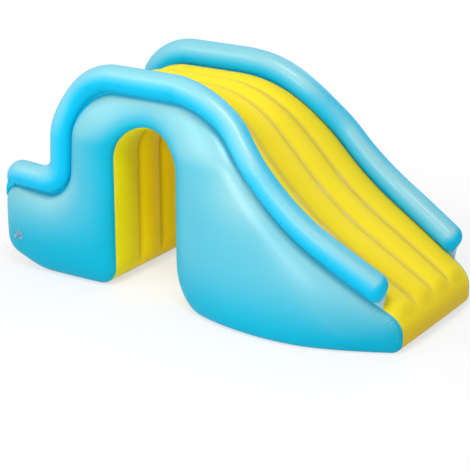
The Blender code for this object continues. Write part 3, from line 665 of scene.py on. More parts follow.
def build_tube_tree():
    """Geometry Nodes: a polyline with an attribute for its radius becomes a closed tube."""
    tree, start, end = new_tree(
        "swept_tube", "GeometryNodeTree",
        [("Geometry", GEOMETRY, None), ("Sides", WHOLE, 32), ("Finish", FINISH, None)],
        [("Geometry", GEOMETRY)])
    curve = add_node(tree, "GeometryNodeMeshToCurve", {0: (start, "Geometry")})
    radius = add_node(tree, "GeometryNodeInputNamedAttribute", {"Name": "tube_radius"},
                      data_type="FLOAT")
    ring = add_node(tree, "GeometryNodeCurvePrimitiveCircle",
                    {"Resolution": (start, "Sides"), "Radius": 1.0})
    sweep = add_node(tree, "GeometryNodeCurveToMesh",
                     {"Curve": (curve, 0), "Profile Curve": (ring, 0),
                      "Scale": (radius, "Attribute"), "Fill Caps": True})
    return end_tree(tree, start, end, sweep)


def worked_out(source):
    """Mesh of an object with its modifiers worked out."""
    depsgraph = bpy.context.evaluated_depsgraph_get()
    return bpy.data.meshes.new_from_object(source.evaluated_get(depsgraph), depsgraph=depsgraph)


def bake_nodes(name, source, tree, values):
    """Run a node tree on an object with named input values, and return the result as a plain object."""
    modifier = source.modifiers.new("nodes", "NODES")
    modifier.node_group = tree
    for item in tree.interface.items_tree:
        if item.item_type == "SOCKET" and item.in_out == "INPUT" and item.name in values:
            modifier[item.identifier] = values[item.name]
    mesh = worked_out(source)
    mesh.name = name
    source.modifiers.remove(modifier)
    bpy.data.objects.remove(source, do_unlink=True)
    return linked(name, mesh)


tube_tree = build_tube_tree()
print("tree", tube_tree.name, "with", len(tube_tree.nodes), "nodes")

# %% The rail's centre line and radius
RAIL_RADIUS = 0.066
RAIL_OUT = 0.01
REAR_DOME = 0.056
FRONT_DOME = 0.060
RAIL_TIP_X = LENGTH / 2 - 0.133
TAIL_START = START[STEP] + (END[STEP] - START[STEP]) * 0.12
RAIL_START = START[STEP] + (END[STEP] - START[STEP]) * 0.76
TAIL_RADIUS = (0.0035, 0.0210)
lengths = np.linspace(START[KNEE], END[LIP], 2000)
RAIL_END = float(np.interp(RAIL_TIP_X, outline_point(lengths)[:, 0], lengths))


def rail_section(along):
    """Radius of the rail and height of its centre above the outline."""
    level = outline_normal(along)[:, 1] ** 2
    full = 0.058 + (RAIL_RADIUS - 0.058) * level
    tail = np.clip((along - TAIL_START) / (RAIL_START - TAIL_START), 0.0, 1.0)
    gathered = TAIL_RADIUS[0] + (TAIL_RADIUS[1] - TAIL_RADIUS[0]) * tail ** 1.2
    rear = np.clip((along - RAIL_START) / REAR_DOME, 0.0, 1.0)
    radius = gathered + (full - gathered) * np.sqrt(1 - (1 - rear) ** 2) ** 1.7
    offset = radius + 0.0015 + (0.0025 + 0.012 * level) * rear
    front = np.clip(1 - (RAIL_END - along) / FRONT_DOME, 0.0, 1.0)
    return radius * np.sqrt(np.clip(1 - front ** 2, 0.0, 1.0)), offset


def rail_stations():
    """Distances along the outline of the rail's rings, close together on both domes."""
    tail = np.linspace(TAIL_START, RAIL_START, 14, endpoint=False)
    rear = RAIL_START + REAR_DOME * (1 - np.cos(np.linspace(0, math.pi / 2, 20)))
    front = RAIL_END - FRONT_DOME * (1 - np.sin(np.linspace(0.02, math.pi / 2, 16)[::-1]))
    middle = np.arange(rear[-1] + 0.011, front.min() - 0.005, 0.011)
    return np.concatenate([tail, rear, middle, np.sort(front)])


def rail_out(along):
    """How far the rail's centre lies outside the seam: less in the narrow tail."""
    return RAIL_OUT * np.clip(rail_section(along)[0] / 0.03, 0.35, 1.0)


print("rail is", round(RAIL_END - RAIL_START, 3), "m long, with", len(rail_stations()), "rings")

# %% Sweep both rails and gather their rear ends
RAIL_SIDES = 48
REAR_FOLD = 0.13
PLUMB_END = 0.50
CORNER_FILL = 0.055
CORNER_EASE = 0.08
# How far the painted light leans to the -Y side of each rail, and the strength and facing of a painted
# highlight streak along it.
RAIL_ASIDE = {-1: 0.25, 1: 0.42}
HIGHLIGHT_STREAK = {-1: 0.42, 1: 0.62}
HIGHLIGHT_FACES = (0.37, -0.66, 0.655)


def gather_rear(rings, centre, turn, along):
    """Rings drawn into folds at the rear, where the weld holds them."""
    from_rear = np.maximum(along - RAIL_START, 0.0)[:, None]
    depth = np.exp(-from_rear / 0.012) * smooth((along[:, None] - TAIL_START) / 0.02)
    folds = np.cos(7 * turn + 0.7 * np.sin(2 * turn)) + 0.5 * np.cos(12 * turn + 1.1)
    return centre[:, None, :] + (rings - centre[:, None, :]) * (1 + REAR_FOLD * depth * folds)[..., None]


def lean_front(along, upward, normal):
    """Shift of each point that stands the rail's front end plumb."""
    downhill = np.stack([normal[:, 1], np.zeros(len(along)), -normal[:, 0]], axis=1)
    near_front = smooth((along - (RAIL_END - 0.17)) / 0.11)[:, None]
    share = PLUMB_END * RAIL_RADIUS * (np.minimum(upward, 0.0) / RAIL_RADIUS) ** 2 * near_front
    return downhill[:, None, :] * share[..., None]


def fill_corner(along, upward, radius, normal):
    """Shift of each point in X and Z that softens the inner corner at the foot of the riser."""
    first, last = START[RISER_FOOT], END[RISER_FOOT]
    half_turn = 0.5 * (last - first) / CORNERS[RISER_FOOT][2]
    bisector = outline_normal(np.array([0.5 * (first + last)]))[0] / math.cos(half_turn)
    eased = smooth((along - first) / CORNER_EASE + 1.0) * smooth((last - along) / CORNER_EASE + 1.0)
    slide = CORNER_FILL * (bisector - normal) * eased[:, None]
    share = np.clip(upward / np.maximum(radius[:, None], 0.02), 0.0, 1.0) ** 1.5
    return share[..., None] * slide[:, None, :]


def rail_tube(name, side):
    """Rail as a swept tube, its rear end drawn into folds where it meets the weld."""
    along = rail_stations()
    radius, offset = rail_section(along)
    point, normal = outline_point(along), outline_normal(along)
    out = np.where(along > RAIL_END - FRONT_DOME, RAIL_OUT, rail_out(along))
    centre = raised(point, normal, offset[:, None], side * (HALF + out)[:, None])
    line = path_object(name + "_line", centre, "tube_radius", np.maximum(radius, 0.0004))
    tube = bake_nodes(name, line, tube_tree, {"Sides": RAIL_SIDES})
    rings = np.empty(len(tube.data.vertices) * 3)
    tube.data.vertices.foreach_get("co", rings)
    rings = rings.reshape(len(along), RAIL_SIDES, 3)
    outward = np.stack([normal[:, 0], np.zeros(len(along)), normal[:, 1]], axis=1)
    arm = rings - centre[:, None, :]
    upward = np.einsum("rsk,rk->rs", arm, outward)
    turn = np.arctan2(arm[..., 1], -upward)
    rings = gather_rear(rings, centre, turn, along) + lean_front(along, upward, normal)
    rings[..., [0, 2]] += fill_corner(along, upward, radius, normal)
    tube.data.vertices.foreach_set("co", rings.ravel())
    marks = np.stack([np.broadcast_to(along[:, None], turn.shape),
                      np.abs(turn) * radius[:, None] + 0.002, np.ones(turn.shape)], axis=-1)
    keep_marks(tube.data, "seam_marks", marks.reshape(-1, 3))
    turn_outwards(tube.data)
    # Painted light, a painted highlight streak and painted shade on the tube, with little painted light on
    # the gathered tail.
    lit_past_tail = 0.1 + 0.9 * smooth((along[:, None] - RAIL_START + 0.01) / 0.04)
    rail_shading = light_from_facing(tube.data, up=0.65, aside=RAIL_ASIDE[side], level=-0.04)
    rail_shading = np.clip(rail_shading + HIGHLIGHT_STREAK[side] * facing_front(tube.data, HIGHLIGHT_FACES), 0.0, 1.0)
    rail_shading *= np.broadcast_to(lit_past_tail, turn.shape).ravel() * (1.0 - turned_from_light(tube.data, 1.1))
    keep_marks(tube.data, "painted_shading", rail_shading)
    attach(tube, "slide_body")
    return tube


rails = {"right": rail_tube("right_rail_tube", -1), "left": rail_tube("left_rail_tube", 1)}
for hand, tube in rails.items():
    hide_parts(hand + "_rail")
print("rails", len(rails["right"].data.polygons), "faces each")

# %% [markdown]
# ## Weld flanges, rear tabs and front gussets
# Where a rail meets the edge seam, the layers are pressed into a narrow flat strip. At the rear it ends
# in a pointed tab, and under the rail's round front end it widens into a web with a plumb edge. These
# are strips between two lines, a lower one on the seam and an upper one under the tube.

# %% Strips that stand on the seam
STRIP_WALL = 0.0015
STRIP_ROWS = 5
STRIP_FOOT = 0.0003
WAVE_PITCH = 0.0093


def contact_height(along):
    """Height above the outline of the rail's underside over the seam."""
    radius, offset = rail_section(along)
    reach = np.minimum(rail_out(along) - STRIP_WALL, radius)
    return offset - np.sqrt(radius ** 2 - reach ** 2)


def standing_strip(name, side, along, upper, ripple):
    """Strip from the seam up to a height at each distance, with fine waves pressed into it."""
    point, normal = outline_point(along), outline_normal(along)
    share = np.linspace(0.0, 1.0, STRIP_ROWS)
    height = STRIP_FOOT + (upper - STRIP_FOOT)[:, None] * share
    wave = ripple * np.sin(along * 2 * math.pi / WAVE_PITCH + 2.2 * np.sin(along * 23.0))[:, None]
    wave = wave * np.sin(math.pi * share)
    layers = [raised(point, normal, height, side * (HALF + STRIP_WALL - depth + wave))
              for depth in (0.0, STRIP_WALL)]
    marks = np.stack([np.broadcast_to(along[:, None], height.shape), height, np.ones(height.shape)],
                     axis=-1)
    marks = np.tile(marks.reshape(-1, 3), (2, 1))
    strip = mesh_object(name, np.concatenate(layers), closed_grid(*height.shape), marks)
    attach(strip, "slide_body")
    return strip


print("strips of", STRIP_ROWS, "rows")

# %% Make the strips on both sides
TAB_LENGTH = 0.014
TAIL_GRIP = 0.007
FLANGE_END = RAIL_END - FRONT_DOME * (1 - math.sqrt(1 - 0.72 ** 2))
GUSSET_TOP = float(rail_section(np.array([RAIL_END]))[1][0])
GUSSET_SLOPE = outline_normal(np.array([RAIL_END]))[0]
GUSSET_FOOT = GUSSET_TOP * GUSSET_SLOPE[0] / GUSSET_SLOPE[1]

tab_along = np.linspace(TAIL_START - TAB_LENGTH, TAIL_START, 10, endpoint=False)
tab_upper = 0.0008 + 0.0025 * (tab_along - tab_along[0]) / TAB_LENGTH
flange_along = np.linspace(TAIL_START, FLANGE_END, math.ceil((FLANGE_END - TAIL_START) / 0.0025))
flange_upper = contact_height(flange_along) - 0.0003
flange_upper += TAIL_GRIP * np.exp(-(flange_along - TAIL_START) / 0.05)
dome_along = np.linspace(FLANGE_END + 0.0006, RAIL_END - 0.0005, 30)
dome_upper = contact_height(dome_along) - 0.0006
plumb_along = np.linspace(RAIL_END + 0.0015, RAIL_END + GUSSET_FOOT - 0.018, 30)
plumb_upper = np.interp(plumb_along, [plumb_along[0], plumb_along[-1]], [GUSSET_TOP, 0.0012])

strips, gussets = [], []
for hand, side in (("right", -1), ("left", 1)):
    flange = standing_strip(hand + "_weld_flange", side, np.concatenate([tab_along, flange_along]),
                            np.concatenate([tab_upper, flange_upper]), 0.0004)
    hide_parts(hand + "_rail_flange")
    gusset = standing_strip(hand + "_gusset_web", side, np.concatenate([dome_along, plumb_along]),
                            np.concatenate([dome_upper, plumb_upper]), 0.0003)
    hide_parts(hand + "_front_gusset")
    strips.append(flange)
    gussets.append(gusset)
print(len(strips), "flanges and", len(gussets), "gussets")

# %% [markdown]
# ## Pressed crimps along the seams
# The heated bar that closes a seam leaves a row of short ridges beside it. They repeat by the hundred
# along a path, which is work for Geometry Nodes: the path is resampled at one pitch, and a small ridge
# of a few faces is put on each point, turned to the path and to the surface, with a slight random size.


# %% A node tree that sets ridges along a path
def build_crimp_tree():
    """Geometry Nodes: a polyline with its outward directions becomes a row of small slanted ridges."""
    tree, start, end = new_tree(
        "seam_crimps", "GeometryNodeTree",
        [("Geometry", GEOMETRY, None), ("Pitch", FLOAT, 0.009),
         ("Ridge Size", VECTOR, (0.002, 0.005, 0.0005)), ("Slant", FLOAT, 0.5),
         ("Seed", WHOLE, 7), ("Finish", FINISH, None)],
        [("Geometry", GEOMETRY)])
    curve = add_node(tree, "GeometryNodeMeshToCurve", {0: (start, "Geometry")})
    even = add_node(tree, "GeometryNodeResampleCurve",
                    {"Curve": (curve, 0), "Length": (start, "Pitch")}, mode="LENGTH")
    spots = add_node(tree, "GeometryNodeCurveToPoints", {0: (even, 0)}, mode="EVALUATED")
    outward = add_node(tree, "GeometryNodeInputNamedAttribute", {"Name": "outward"},
                       data_type="FLOAT_VECTOR")
    axes = add_node(tree, "FunctionNodeAxesToRotation",
                    {"Primary Axis": (outward, "Attribute"), "Secondary Axis": (spots, "Tangent")},
                    primary_axis="Z", secondary_axis="X")
    turn = add_node(tree, "FunctionNodeAxisAngleToRotation",
                    {"Axis": (0.0, 0.0, 1.0), "Angle": (start, "Slant")})
    slant = add_node(tree, "FunctionNodeRotateRotation",
                     {"Rotation": (axes, 0), "Rotate By": (turn, 0)}, rotation_space="LOCAL")
    size = add_node(tree, "FunctionNodeRandomValue",
                    {2: 0.7, 3: 1.15, "Seed": (start, "Seed")}, data_type="FLOAT")
    scale = add_node(tree, "ShaderNodeVectorMath", operation="SCALE")
    feed(tree, (start, "Ridge Size"), scale.inputs[0])
    feed(tree, (size, 1), scale.inputs["Scale"])
    ridge = add_node(tree, "GeometryNodeMeshUVSphere", {"Segments": 8, "Rings": 4, "Radius": 1.0})
    soft = add_node(tree, "GeometryNodeSetShadeSmooth", {"Geometry": (ridge, 0)})
    place = add_node(tree, "GeometryNodeInstanceOnPoints",
                     {"Points": (spots, "Points"), "Instance": (soft, 0),
                      "Rotation": (slant, 0), "Scale": (scale, 0)})
    return end_tree(tree, start, end, place)


crimp_tree = build_crimp_tree()
print("tree", crimp_tree.name, "with", len(crimp_tree.nodes), "nodes")

# %% Crimp rows beside the seams of the side panels
PATH_STEP = 0.006
RAY_START = 0.3
CRIMP_INSET = 0.0042
CRIMPS = {"Pitch": 0.0095, "Ridge Size": (0.0022, 0.0042, 0.00055)}
CRIMP_SLANT = 0.45


def seam_path(side, first, last, inset):
    """Line on a side pillow at an inset from its rim, with the surface's outward direction."""
    along = np.arange(first, last, PATH_STEP)
    plan_points = outline_point(along) - outline_normal(along) * inset
    panel = sides["right" if side < 0 else "left"]
    tree = BVHTree.FromObject(panel, bpy.context.evaluated_depsgraph_get())
    points, outward = [], []
    for x, z in plan_points:
        outside = side * (HALF + float(spread(x, z)) + RAY_START)
        above = Vector((x, outside, z))
        hit, face_normal, _, _ = tree.ray_cast(above, Vector((0, -side, 0)))
        if hit is None:
            continue
        points.append(hit)
        outward.append(-face_normal if face_normal.y * side < 0 else face_normal)
    return points, outward


crimps = []
STRETCHES = [("riser", RAIL_START - 0.02, START[BROW]), ("chute", START[BROW], RAIL_END + 0.05),
             ("lip", RAIL_END + 0.05, END[LIP_BOTTOM]),
             ("keel", START[KEEL_FLOOR] + 0.03, RAIL_START - 0.02),
             ("arch", START[ARCH_FRONT_FOOT] + 0.02, END[ARCH_REAR_FOOT] - 0.02)]
for hand, side in (("right", -1), ("left", 1)):
    for place, first, last in STRETCHES:
        points, outward = seam_path(side, first, last, CRIMP_INSET)
        name = f"{hand}_{place}_crimps"
        path = path_object(name + "_path", points, "outward", outward)
        row = bake_nodes(name, path, crimp_tree, {**CRIMPS, "Slant": side * CRIMP_SLANT})
        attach(row, "slide_body")
        crimps.append(row)
print(len(crimps), "crimp rows,", sum(len(row.data.polygons) for row in crimps), "faces")

# %% [markdown]
# ## Air valves
# Each valve is a round flange welded on the sheet, a soft stem that can be pressed in, a plug on a
# hinge at the stem's end, and a thin flap inside that air pressure closes. They are turned parts, so a
# profile spun round the valve's axis makes them, and the joints in the record say where that axis is.

# %% Frames of the valves, from their joints
joints = {joint["name"]: joint for joint in frame["record"]["behaviour"]["joints"]}
VALVES = {
    "main_valve": {"stem": 0.009, "sheet": sides["right"]},
    "right_rail_valve": {"stem": 0.007, "sheet": rails["right"]},
    "left_rail_valve": {"stem": 0.007, "sheet": rails["left"]},
}
VALVE_WALL = 0.0016
for name, valve in VALVES.items():
    up = -Vector(joints[name + "_press"]["axis"]).normalized()
    side = Vector(joints[name + "_plug_swing"]["axis"]).normalized()
    ahead = side.cross(up).normalized()
    valve["top"] = valve["stem"] * 3.1
    valve["hinge_reach"] = valve["stem"] + 0.004
    valve["hinge_height"] = valve["top"] + 0.0003 + 0.0015
    hinge = Vector(joints[name + "_plug_swing"]["pos_m"])
    origin = hinge - ahead * valve["hinge_reach"] - up * valve["hinge_height"]
    turn = Matrix((ahead, side, up)).transposed().to_4x4()
    valve["frame"] = Matrix.Translation(origin) @ turn
    print(name, "at", [round(c, 4) for c in origin])


# %% Turned pieces
def turned(profile, sides=48):
    """Mesh of a closed profile, given as radius and height, turned round the Z axis."""
    made = bmesh.new()
    rows = []
    for radius, height in profile:
        angles = np.linspace(0, 2 * math.pi, sides if radius else 1, endpoint=False)
        rows.append([made.verts.new((radius * math.cos(a), radius * math.sin(a), height)) for a in angles])
    pairs = list(zip(rows, rows[1:]))
    if len(rows[0]) > 1:
        pairs.append((rows[-1], rows[0]))
    for near, far in pairs:
        for j in range(sides):
            k = (j + 1) % sides
            ring = [near[j % len(near)], near[k % len(near)], far[k % len(far)], far[j % len(far)]]
            made.faces.new(list(dict.fromkeys(ring)))
    bmesh.ops.recalc_face_normals(made, faces=made.faces)
    return made


def rounded(points, radius, steps=3):
    """Profile with its corners rounded, except those on the axis."""
    result = []
    count = len(points)
    for k, (r, h) in enumerate(points):
        corner = Vector((r, h))
        before, after = Vector(points[k - 1]), Vector(points[(k + 1) % count])
        if r == 0:
            result.append((r, h))
            continue
        reach = min(radius, 0.4 * (before - corner).length, 0.4 * (after - corner).length)
        start = corner + (before - corner).normalized() * reach
        finish = corner + (after - corner).normalized() * reach
        for step in range(steps + 1):
            t = step / steps
            spot = start * (1 - t) ** 2 + corner * 2 * t * (1 - t) + finish * t ** 2
            result.append((spot.x, spot.y))
    return result


def solid(name, made, place):
    """Object from a bmesh, with its place in its mesh."""
    mesh = bpy.data.meshes.new(name)
    made.transform(place)
    made.to_mesh(mesh)
    made.free()
    return linked(name, mesh)


def valve_piece(name, made, place, body, replaced):
    """Finished piece of a valve, riding on a body and standing for a node of the frame."""
    piece = solid(name, made, place)
    piece.data.shade_smooth()
    piece.data.set_sharp_from_angle(angle=math.radians(50))
    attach(piece, body)
    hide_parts(replaced)
    return piece


def drill(sheet, place, radius, depth=0.042, above=0.012):
    """Cut the valve's hole with an exact Boolean, deep enough for the pressed stem and the open flap."""
    plug = turned([(0, -depth), (radius, -depth), (radius, above), (0, above)])
    cutter = solid("valve_hole", plug, place)
    cut = sheet.modifiers.new("hole", "BOOLEAN")
    cut.operation = "DIFFERENCE"
    cut.solver = "EXACT"
    cut.object = cutter
    mesh = worked_out(sheet)
    sheet.modifiers.remove(cut)
    sheet.data = mesh
    bpy.data.objects.remove(cutter, do_unlink=True)


square = [(0.01, 0), (0.02, 0), (0.02, 0.01), (0.01, 0.01)]
print(len(rounded(square, 0.002)), "points on a rounded profile")

# %% Flanges that follow the sheet
FLANGE_WIDTH = 0.016
PROBE_HEIGHT = 0.03
PROBE_REACH = 0.08


def fit_to_sheet(made, valve):
    """Bend a flange on to its sheet: each point moves along the axis by the sheet's height there."""
    tree = BVHTree.FromObject(valve["sheet"], bpy.context.evaluated_depsgraph_get())
    place = valve["frame"]
    axis = (place.to_3x3() @ Vector((0, 0, 1))).normalized()
    for vert in made.verts:
        reach = math.hypot(vert.co.x, vert.co.y)
        above = place @ Vector((vert.co.x, vert.co.y, PROBE_HEIGHT))
        hit = tree.ray_cast(above, -axis, PROBE_REACH)[0]
        if hit is None:
            continue
        height = PROBE_HEIGHT - (above - hit).length
        vert.co.z += height * min(1.0, max(0.0, (reach - valve["stem"]) / 0.002))
    return made


def flange_profile(stem):
    """Flange: a short collar round the stem, a flat disc with two pressed rings, and a thin edge."""
    inside = stem + 0.0004
    rim = stem + FLANGE_WIDTH
    outside = inside + VALVE_WALL
    return [(inside, 0.0016), (inside, -0.0025), (outside, -0.0025), (outside, 0.0002),
            (rim, 0.0002), (rim, 0.0009), (rim - 0.0012, 0.0014), (rim - 0.0022, 0.0010),
            (rim - 0.0034, 0.0016), (rim - 0.0046, 0.0010), (stem + 0.0058, 0.0008),
            (stem + 0.0046, 0.0011), (stem + 0.0030, 0.0011), (stem + 0.0018, 0.0014)]


flanges = []
for name, valve in VALVES.items():
    made = fit_to_sheet(turned(rounded(flange_profile(valve["stem"]), 0.0005, 2), 64), valve)
    flanges.append(valve_piece(name + "_weld_disc", made, valve["frame"], "slide_body",
                               name + "_flange"))
for name, valve in VALVES.items():
    drill(valve["sheet"], valve["frame"], valve["stem"] + 0.0024)
print(len(flanges), "flanges")


# %% Stems, plugs and flaps
def rounded_block(made, low, high, bevel=0.0005):
    """Add a box with rounded edges to a bmesh."""
    cube = bmesh.ops.create_cube(made, size=1.0)
    for vert in cube["verts"]:
        for axis in range(3):
            vert.co[axis] = low[axis] if vert.co[axis] < 0 else high[axis]
    box_edges = [edge for edge in made.edges if all(vert in cube["verts"] for vert in edge.verts)]
    bmesh.ops.bevel(made, geom=box_edges, offset=bevel, segments=3, affect="EDGES", profile=0.6)


LUG = 0.0014
LUG_HALF = 0.0035
valve_pieces = []
for name, valve in VALVES.items():
    stem, top, reach = valve["stem"], valve["top"], valve["hinge_reach"]
    bore, waist = stem - VALVE_WALL, stem - 0.0004
    tube = turned(rounded([(bore, top), (bore, -0.006), (stem, -0.006), (stem, 0.006), (waist, 0.008),
                           (waist, top - 0.006), (stem, top - 0.0045), (stem, top)], 0.0005))
    rounded_block(tube, (bore + 0.0008, -LUG_HALF, top - LUG), (stem + 0.0055, LUG_HALF, top))

    cap, skirt = stem + 0.001, bore - 0.0004
    plug = turned(rounded([(0, -0.0055), (skirt - 0.0012, -0.0055), (skirt - 0.0004, -0.0035),
                           (skirt, -0.0025), (skirt - 0.0002, -0.0015), (cap, -0.0015), (cap, 0.0012),
                           (cap - 0.0008, 0.0015), (cap - 0.0022, 0.0015), (cap - 0.0030, 0.0010),
                           (0.0, 0.0010)], 0.0004, 2))
    bmesh.ops.translate(plug, verts=plug.verts, vec=(-reach, 0, 0))
    rounded_block(plug, (-reach + bore, -LUG_HALF, -LUG), (0.0008, LUG_HALF, LUG))

    edge = (bore + stem) / 2
    flap = turned(rounded([(0, -0.0008), (edge, -0.0008), (edge, 0.0), (edge - 0.001, 0.0),
                           (edge - 0.0014, -0.0003), (0, -0.0003)], 0.0002, 2))
    bmesh.ops.translate(flap, verts=flap.verts, vec=(-edge, 0, 0))
    for made, kind, part, shift in ((tube, "_soft_stem", "_stem", (0, 0, 0)),
                                    (plug, "_hinged_plug", "_plug", (reach, 0, valve["hinge_height"])),
                                    (flap, "_check_flap", "_flap", (edge, 0, -0.0063))):
        place = valve["frame"] @ Matrix.Translation(shift)
        valve_pieces.append(valve_piece(name + kind, made, place, name + part, name + part))
print(len(valve_pieces), "moving valve pieces")

# %% [markdown]
# ## Vinyl
# Pool vinyl is a smooth sheet with a soft gloss. Close to a weld it puckers into short slanted waves,
# because the seam holds back a sheet that the air stretches, and its tone drifts a little over the
# surface. Both effects belong to several materials, so each is a node group with named sockets. Light
# and shade are painted as well: an attribute on the points tells the material how much of a paler
# colour to mix in as painted light and highlights, or of a darker one as painted shade.


# %% Helpers for shader nodes
def maths(tree, operation, *values, clamp=False):
    """Math node with its inputs fed; returns its output as a pair."""
    values = dict(enumerate(values))
    return add_node(tree, "ShaderNodeMath", values, operation=operation, use_clamp=clamp), 0


def noise(tree, vector, scale, detail=2.0, rough=0.5):
    """Noise texture on a vector; returns its factor as a pair."""
    values = {"Vector": vector, "Scale": scale, "Detail": detail, "Roughness": rough}
    return add_node(tree, "ShaderNodeTexNoise", values), 0


def mixed(tree, share, first, second):
    """Mix of two colours; returns the result as a pair."""
    values = {"Factor": share, "A": first, "B": second}
    return add_node(tree, "ShaderNodeMix", values, data_type="RGBA"), "Result"


def ramp(tree, value, low, high, at_low, at_high):
    """Smooth change from one number to another between two values; returns it as a pair."""
    values = {"Value": value, "From Min": low, "From Max": high, "To Min": at_low, "To Max": at_high}
    return add_node(tree, "ShaderNodeMapRange", values, interpolation_type="SMOOTHSTEP"), "Result"


def place_group(tree, group, values):
    """Node of a shader group with its inputs fed."""
    node = add_node(tree, "ShaderNodeGroup", node_tree=group)
    for label, value in values.items():
        feed(tree, value, node.inputs[label])
    return node


print("shader helpers ready")

# %% Group: puckers beside a weld
puckers, begin, result = new_tree(
    "weld_puckers", "ShaderNodeTree",
    [("Along", FLOAT, 0.0), ("Distance", FLOAT, 0.0), ("Pitch", FLOAT, 0.009),
     ("Reach", FLOAT, 0.012), ("Slant", FLOAT, 0.8)],
    [("Height", FLOAT)])
fade = maths(puckers, "DIVIDE", (begin, "Distance"), (begin, "Reach"))
fade = maths(puckers, "EXPONENT", maths(puckers, "MULTIPLY", fade, -1.0))
slanted = maths(puckers, "MULTIPLY_ADD", (begin, "Distance"), (begin, "Slant"), (begin, "Along"))
spot = add_node(puckers, "ShaderNodeCombineXYZ", {"X": (begin, "Along"), "Y": (begin, "Distance")})
drift = noise(puckers, (spot, 0), 22.0, 1.0)
turns = maths(puckers, "DIVIDE", maths(puckers, "MULTIPLY_ADD", drift, 0.05, slanted), (begin, "Pitch"))
wave = maths(puckers, "SINE", maths(puckers, "MULTIPLY", turns, 2 * math.pi))
patchy = maths(puckers, "MULTIPLY_ADD", noise(puckers, (spot, 0), 9.0), 2.4, -0.7, clamp=True)
height = maths(puckers, "MULTIPLY", maths(puckers, "MULTIPLY", wave, patchy), fade)
feed(puckers, height, result.inputs["Height"])
print("group", puckers.name)

# %% Group: the skin of a vinyl sheet
skin, begin, result = new_tree(
    "vinyl_skin", "ShaderNodeTree",
    [("Vector", VECTOR, (0.0, 0.0, 0.0)), ("Base", COLOUR, (0.5, 0.5, 0.5, 1.0)),
     ("Deep", COLOUR, (0.4, 0.4, 0.4, 1.0)), ("Roughness", FLOAT, 0.3), ("Variation", FLOAT, 0.05)],
    [("Colour", COLOUR), ("Roughness", FLOAT), ("Height", FLOAT)])
vector = (begin, "Vector")
broad = maths(skin, "MULTIPLY_ADD", noise(skin, vector, 2.6), 1.6, -0.3, clamp=True)
feed(skin, mixed(skin, broad, (begin, "Base"), (begin, "Deep")), result.inputs["Colour"])
fine = noise(skin, vector, 260.0)
smear = noise(skin, vector, 14.0, 3.0, 0.6)
rough = maths(skin, "SUBTRACT", smear, 0.5)
rough = maths(skin, "MULTIPLY_ADD", rough, (begin, "Variation"), (begin, "Roughness"))
speck = maths(skin, "SUBTRACT", fine, 0.5)
rough = maths(skin, "MULTIPLY_ADD", speck, (begin, "Variation"), rough, clamp=True)
feed(skin, rough, result.inputs["Roughness"])
ripple = noise(skin, vector, 30.0, 3.0, 0.55)
feed(skin, maths(skin, "ADD", maths(skin, "MULTIPLY", fine, 0.05), ripple), result.inputs["Height"])
print("group", skin.name)

# %% Vinyl materials
PUCKER_HEIGHT = 0.0003
RIPPLE_HEIGHT = 0.00012
DULL_COAT = 0.12
BLACK = (0.0, 0.0, 0.0, 1.0)


def skinned(name, base, deep, roughness, variation):
    """New material with the vinyl skin in it; returns both."""
    made = bpy.data.materials.new(name)
    made.use_nodes = True
    where = made.node_tree.nodes.new("ShaderNodeTexCoord")
    values = {"Vector": (where, "Object"), "Base": base, "Deep": deep,
              "Roughness": roughness, "Variation": variation}
    return made, place_group(made.node_tree, skin, values)


def shade(made, surface, colour, height, depth, **plain):
    """Feed a material's shader: a colour, the skin's roughness, a bump and its plain values."""
    tree = made.node_tree
    bump = add_node(tree, "ShaderNodeBump", {"Distance": depth, "Height": height})
    values = {"Base Color": colour, "Roughness": (surface, "Roughness"), "Normal": (bump, "Normal")}
    values.update({label.replace("_", " "): value for label, value in plain.items()})
    for label, value in values.items():
        feed(tree, value, tree.nodes["Principled BSDF"].inputs[label])
    return made


def vinyl(name, base, deep, roughness, coat, gloss, groove=None, shading_colour=None,
          seam_shade=None, glow=None, bounce=None):
    """Vinyl: drifting tone, soft gloss, fine ripple, toned grooves, and painted light, shade and glow."""
    made, surface = skinned(name, base, deep, roughness, 0.06)
    tree = made.node_tree
    shader = tree.nodes["Principled BSDF"]
    marks = add_node(tree, "ShaderNodeAttribute", attribute_name="seam_marks")
    parts = add_node(tree, "ShaderNodeSeparateXYZ", {0: (marks, "Vector")})
    rim = place_group(tree, puckers, {"Along": (parts, "X"), "Distance": (parts, "Y"),
                                      "Pitch": 0.0092, "Reach": 0.013, "Slant": 0.9})
    colour = (surface, "Colour")
    height = maths(tree, "MULTIPLY", (rim, "Height"), PUCKER_HEIGHT)
    if groove is not None:
        weld = place_group(tree, puckers, {"Along": (parts, "X"), "Distance": (parts, "Z"),
                                           "Pitch": 0.0085, "Reach": 0.010, "Slant": 0.0})
        height = maths(tree, "MULTIPLY_ADD", (weld, "Height"), PUCKER_HEIGHT * 0.5, height)
        colour = mixed(tree, ramp(tree, (parts, "Z"), 0.006, 0.026, 0.85, 0.0), colour, groove)
    # Painted shade: the colour turns darker and more olive towards the side seams.
    if seam_shade is not None:
        colour = mixed(tree, ramp(tree, (parts, "Y"), 0.10, 0.24, 1.0, 0.0), colour, seam_shade)
    # Painted light and shade: the attribute mixes in a paler or darker colour, and the coat follows it.
    if shading_colour is not None:
        shading_share = (add_node(tree, "ShaderNodeAttribute", attribute_name="painted_shading"), "Fac")
        colour = mixed(tree, shading_share, colour, shading_colour)
        coat = maths(tree, "MULTIPLY_ADD", shading_share, (1 - DULL_COAT) * coat, DULL_COAT * coat)
    # Painted glow: the tube gives off faint blue light where its painted light is low, and all over the
    # weld flanges.
    if glow is not None:
        feed(tree, mixed(tree, shading_share, glow, BLACK), shader.inputs["Emission Color"])
        shader.inputs["Emission Strength"].default_value = 1.0
    if bounce is not None:
        rays = add_node(tree, "ShaderNodeLightPath")
        colour = mixed(tree, (rays, "Is Diffuse Ray"), colour, bounce)
    height = maths(tree, "MULTIPLY_ADD", (surface, "Height"), RIPPLE_HEIGHT, height)
    return shade(made, surface, colour, height, 1.0, Coat_Weight=coat, Coat_Roughness=0.33,
                 Specular_IOR_Level=gloss)
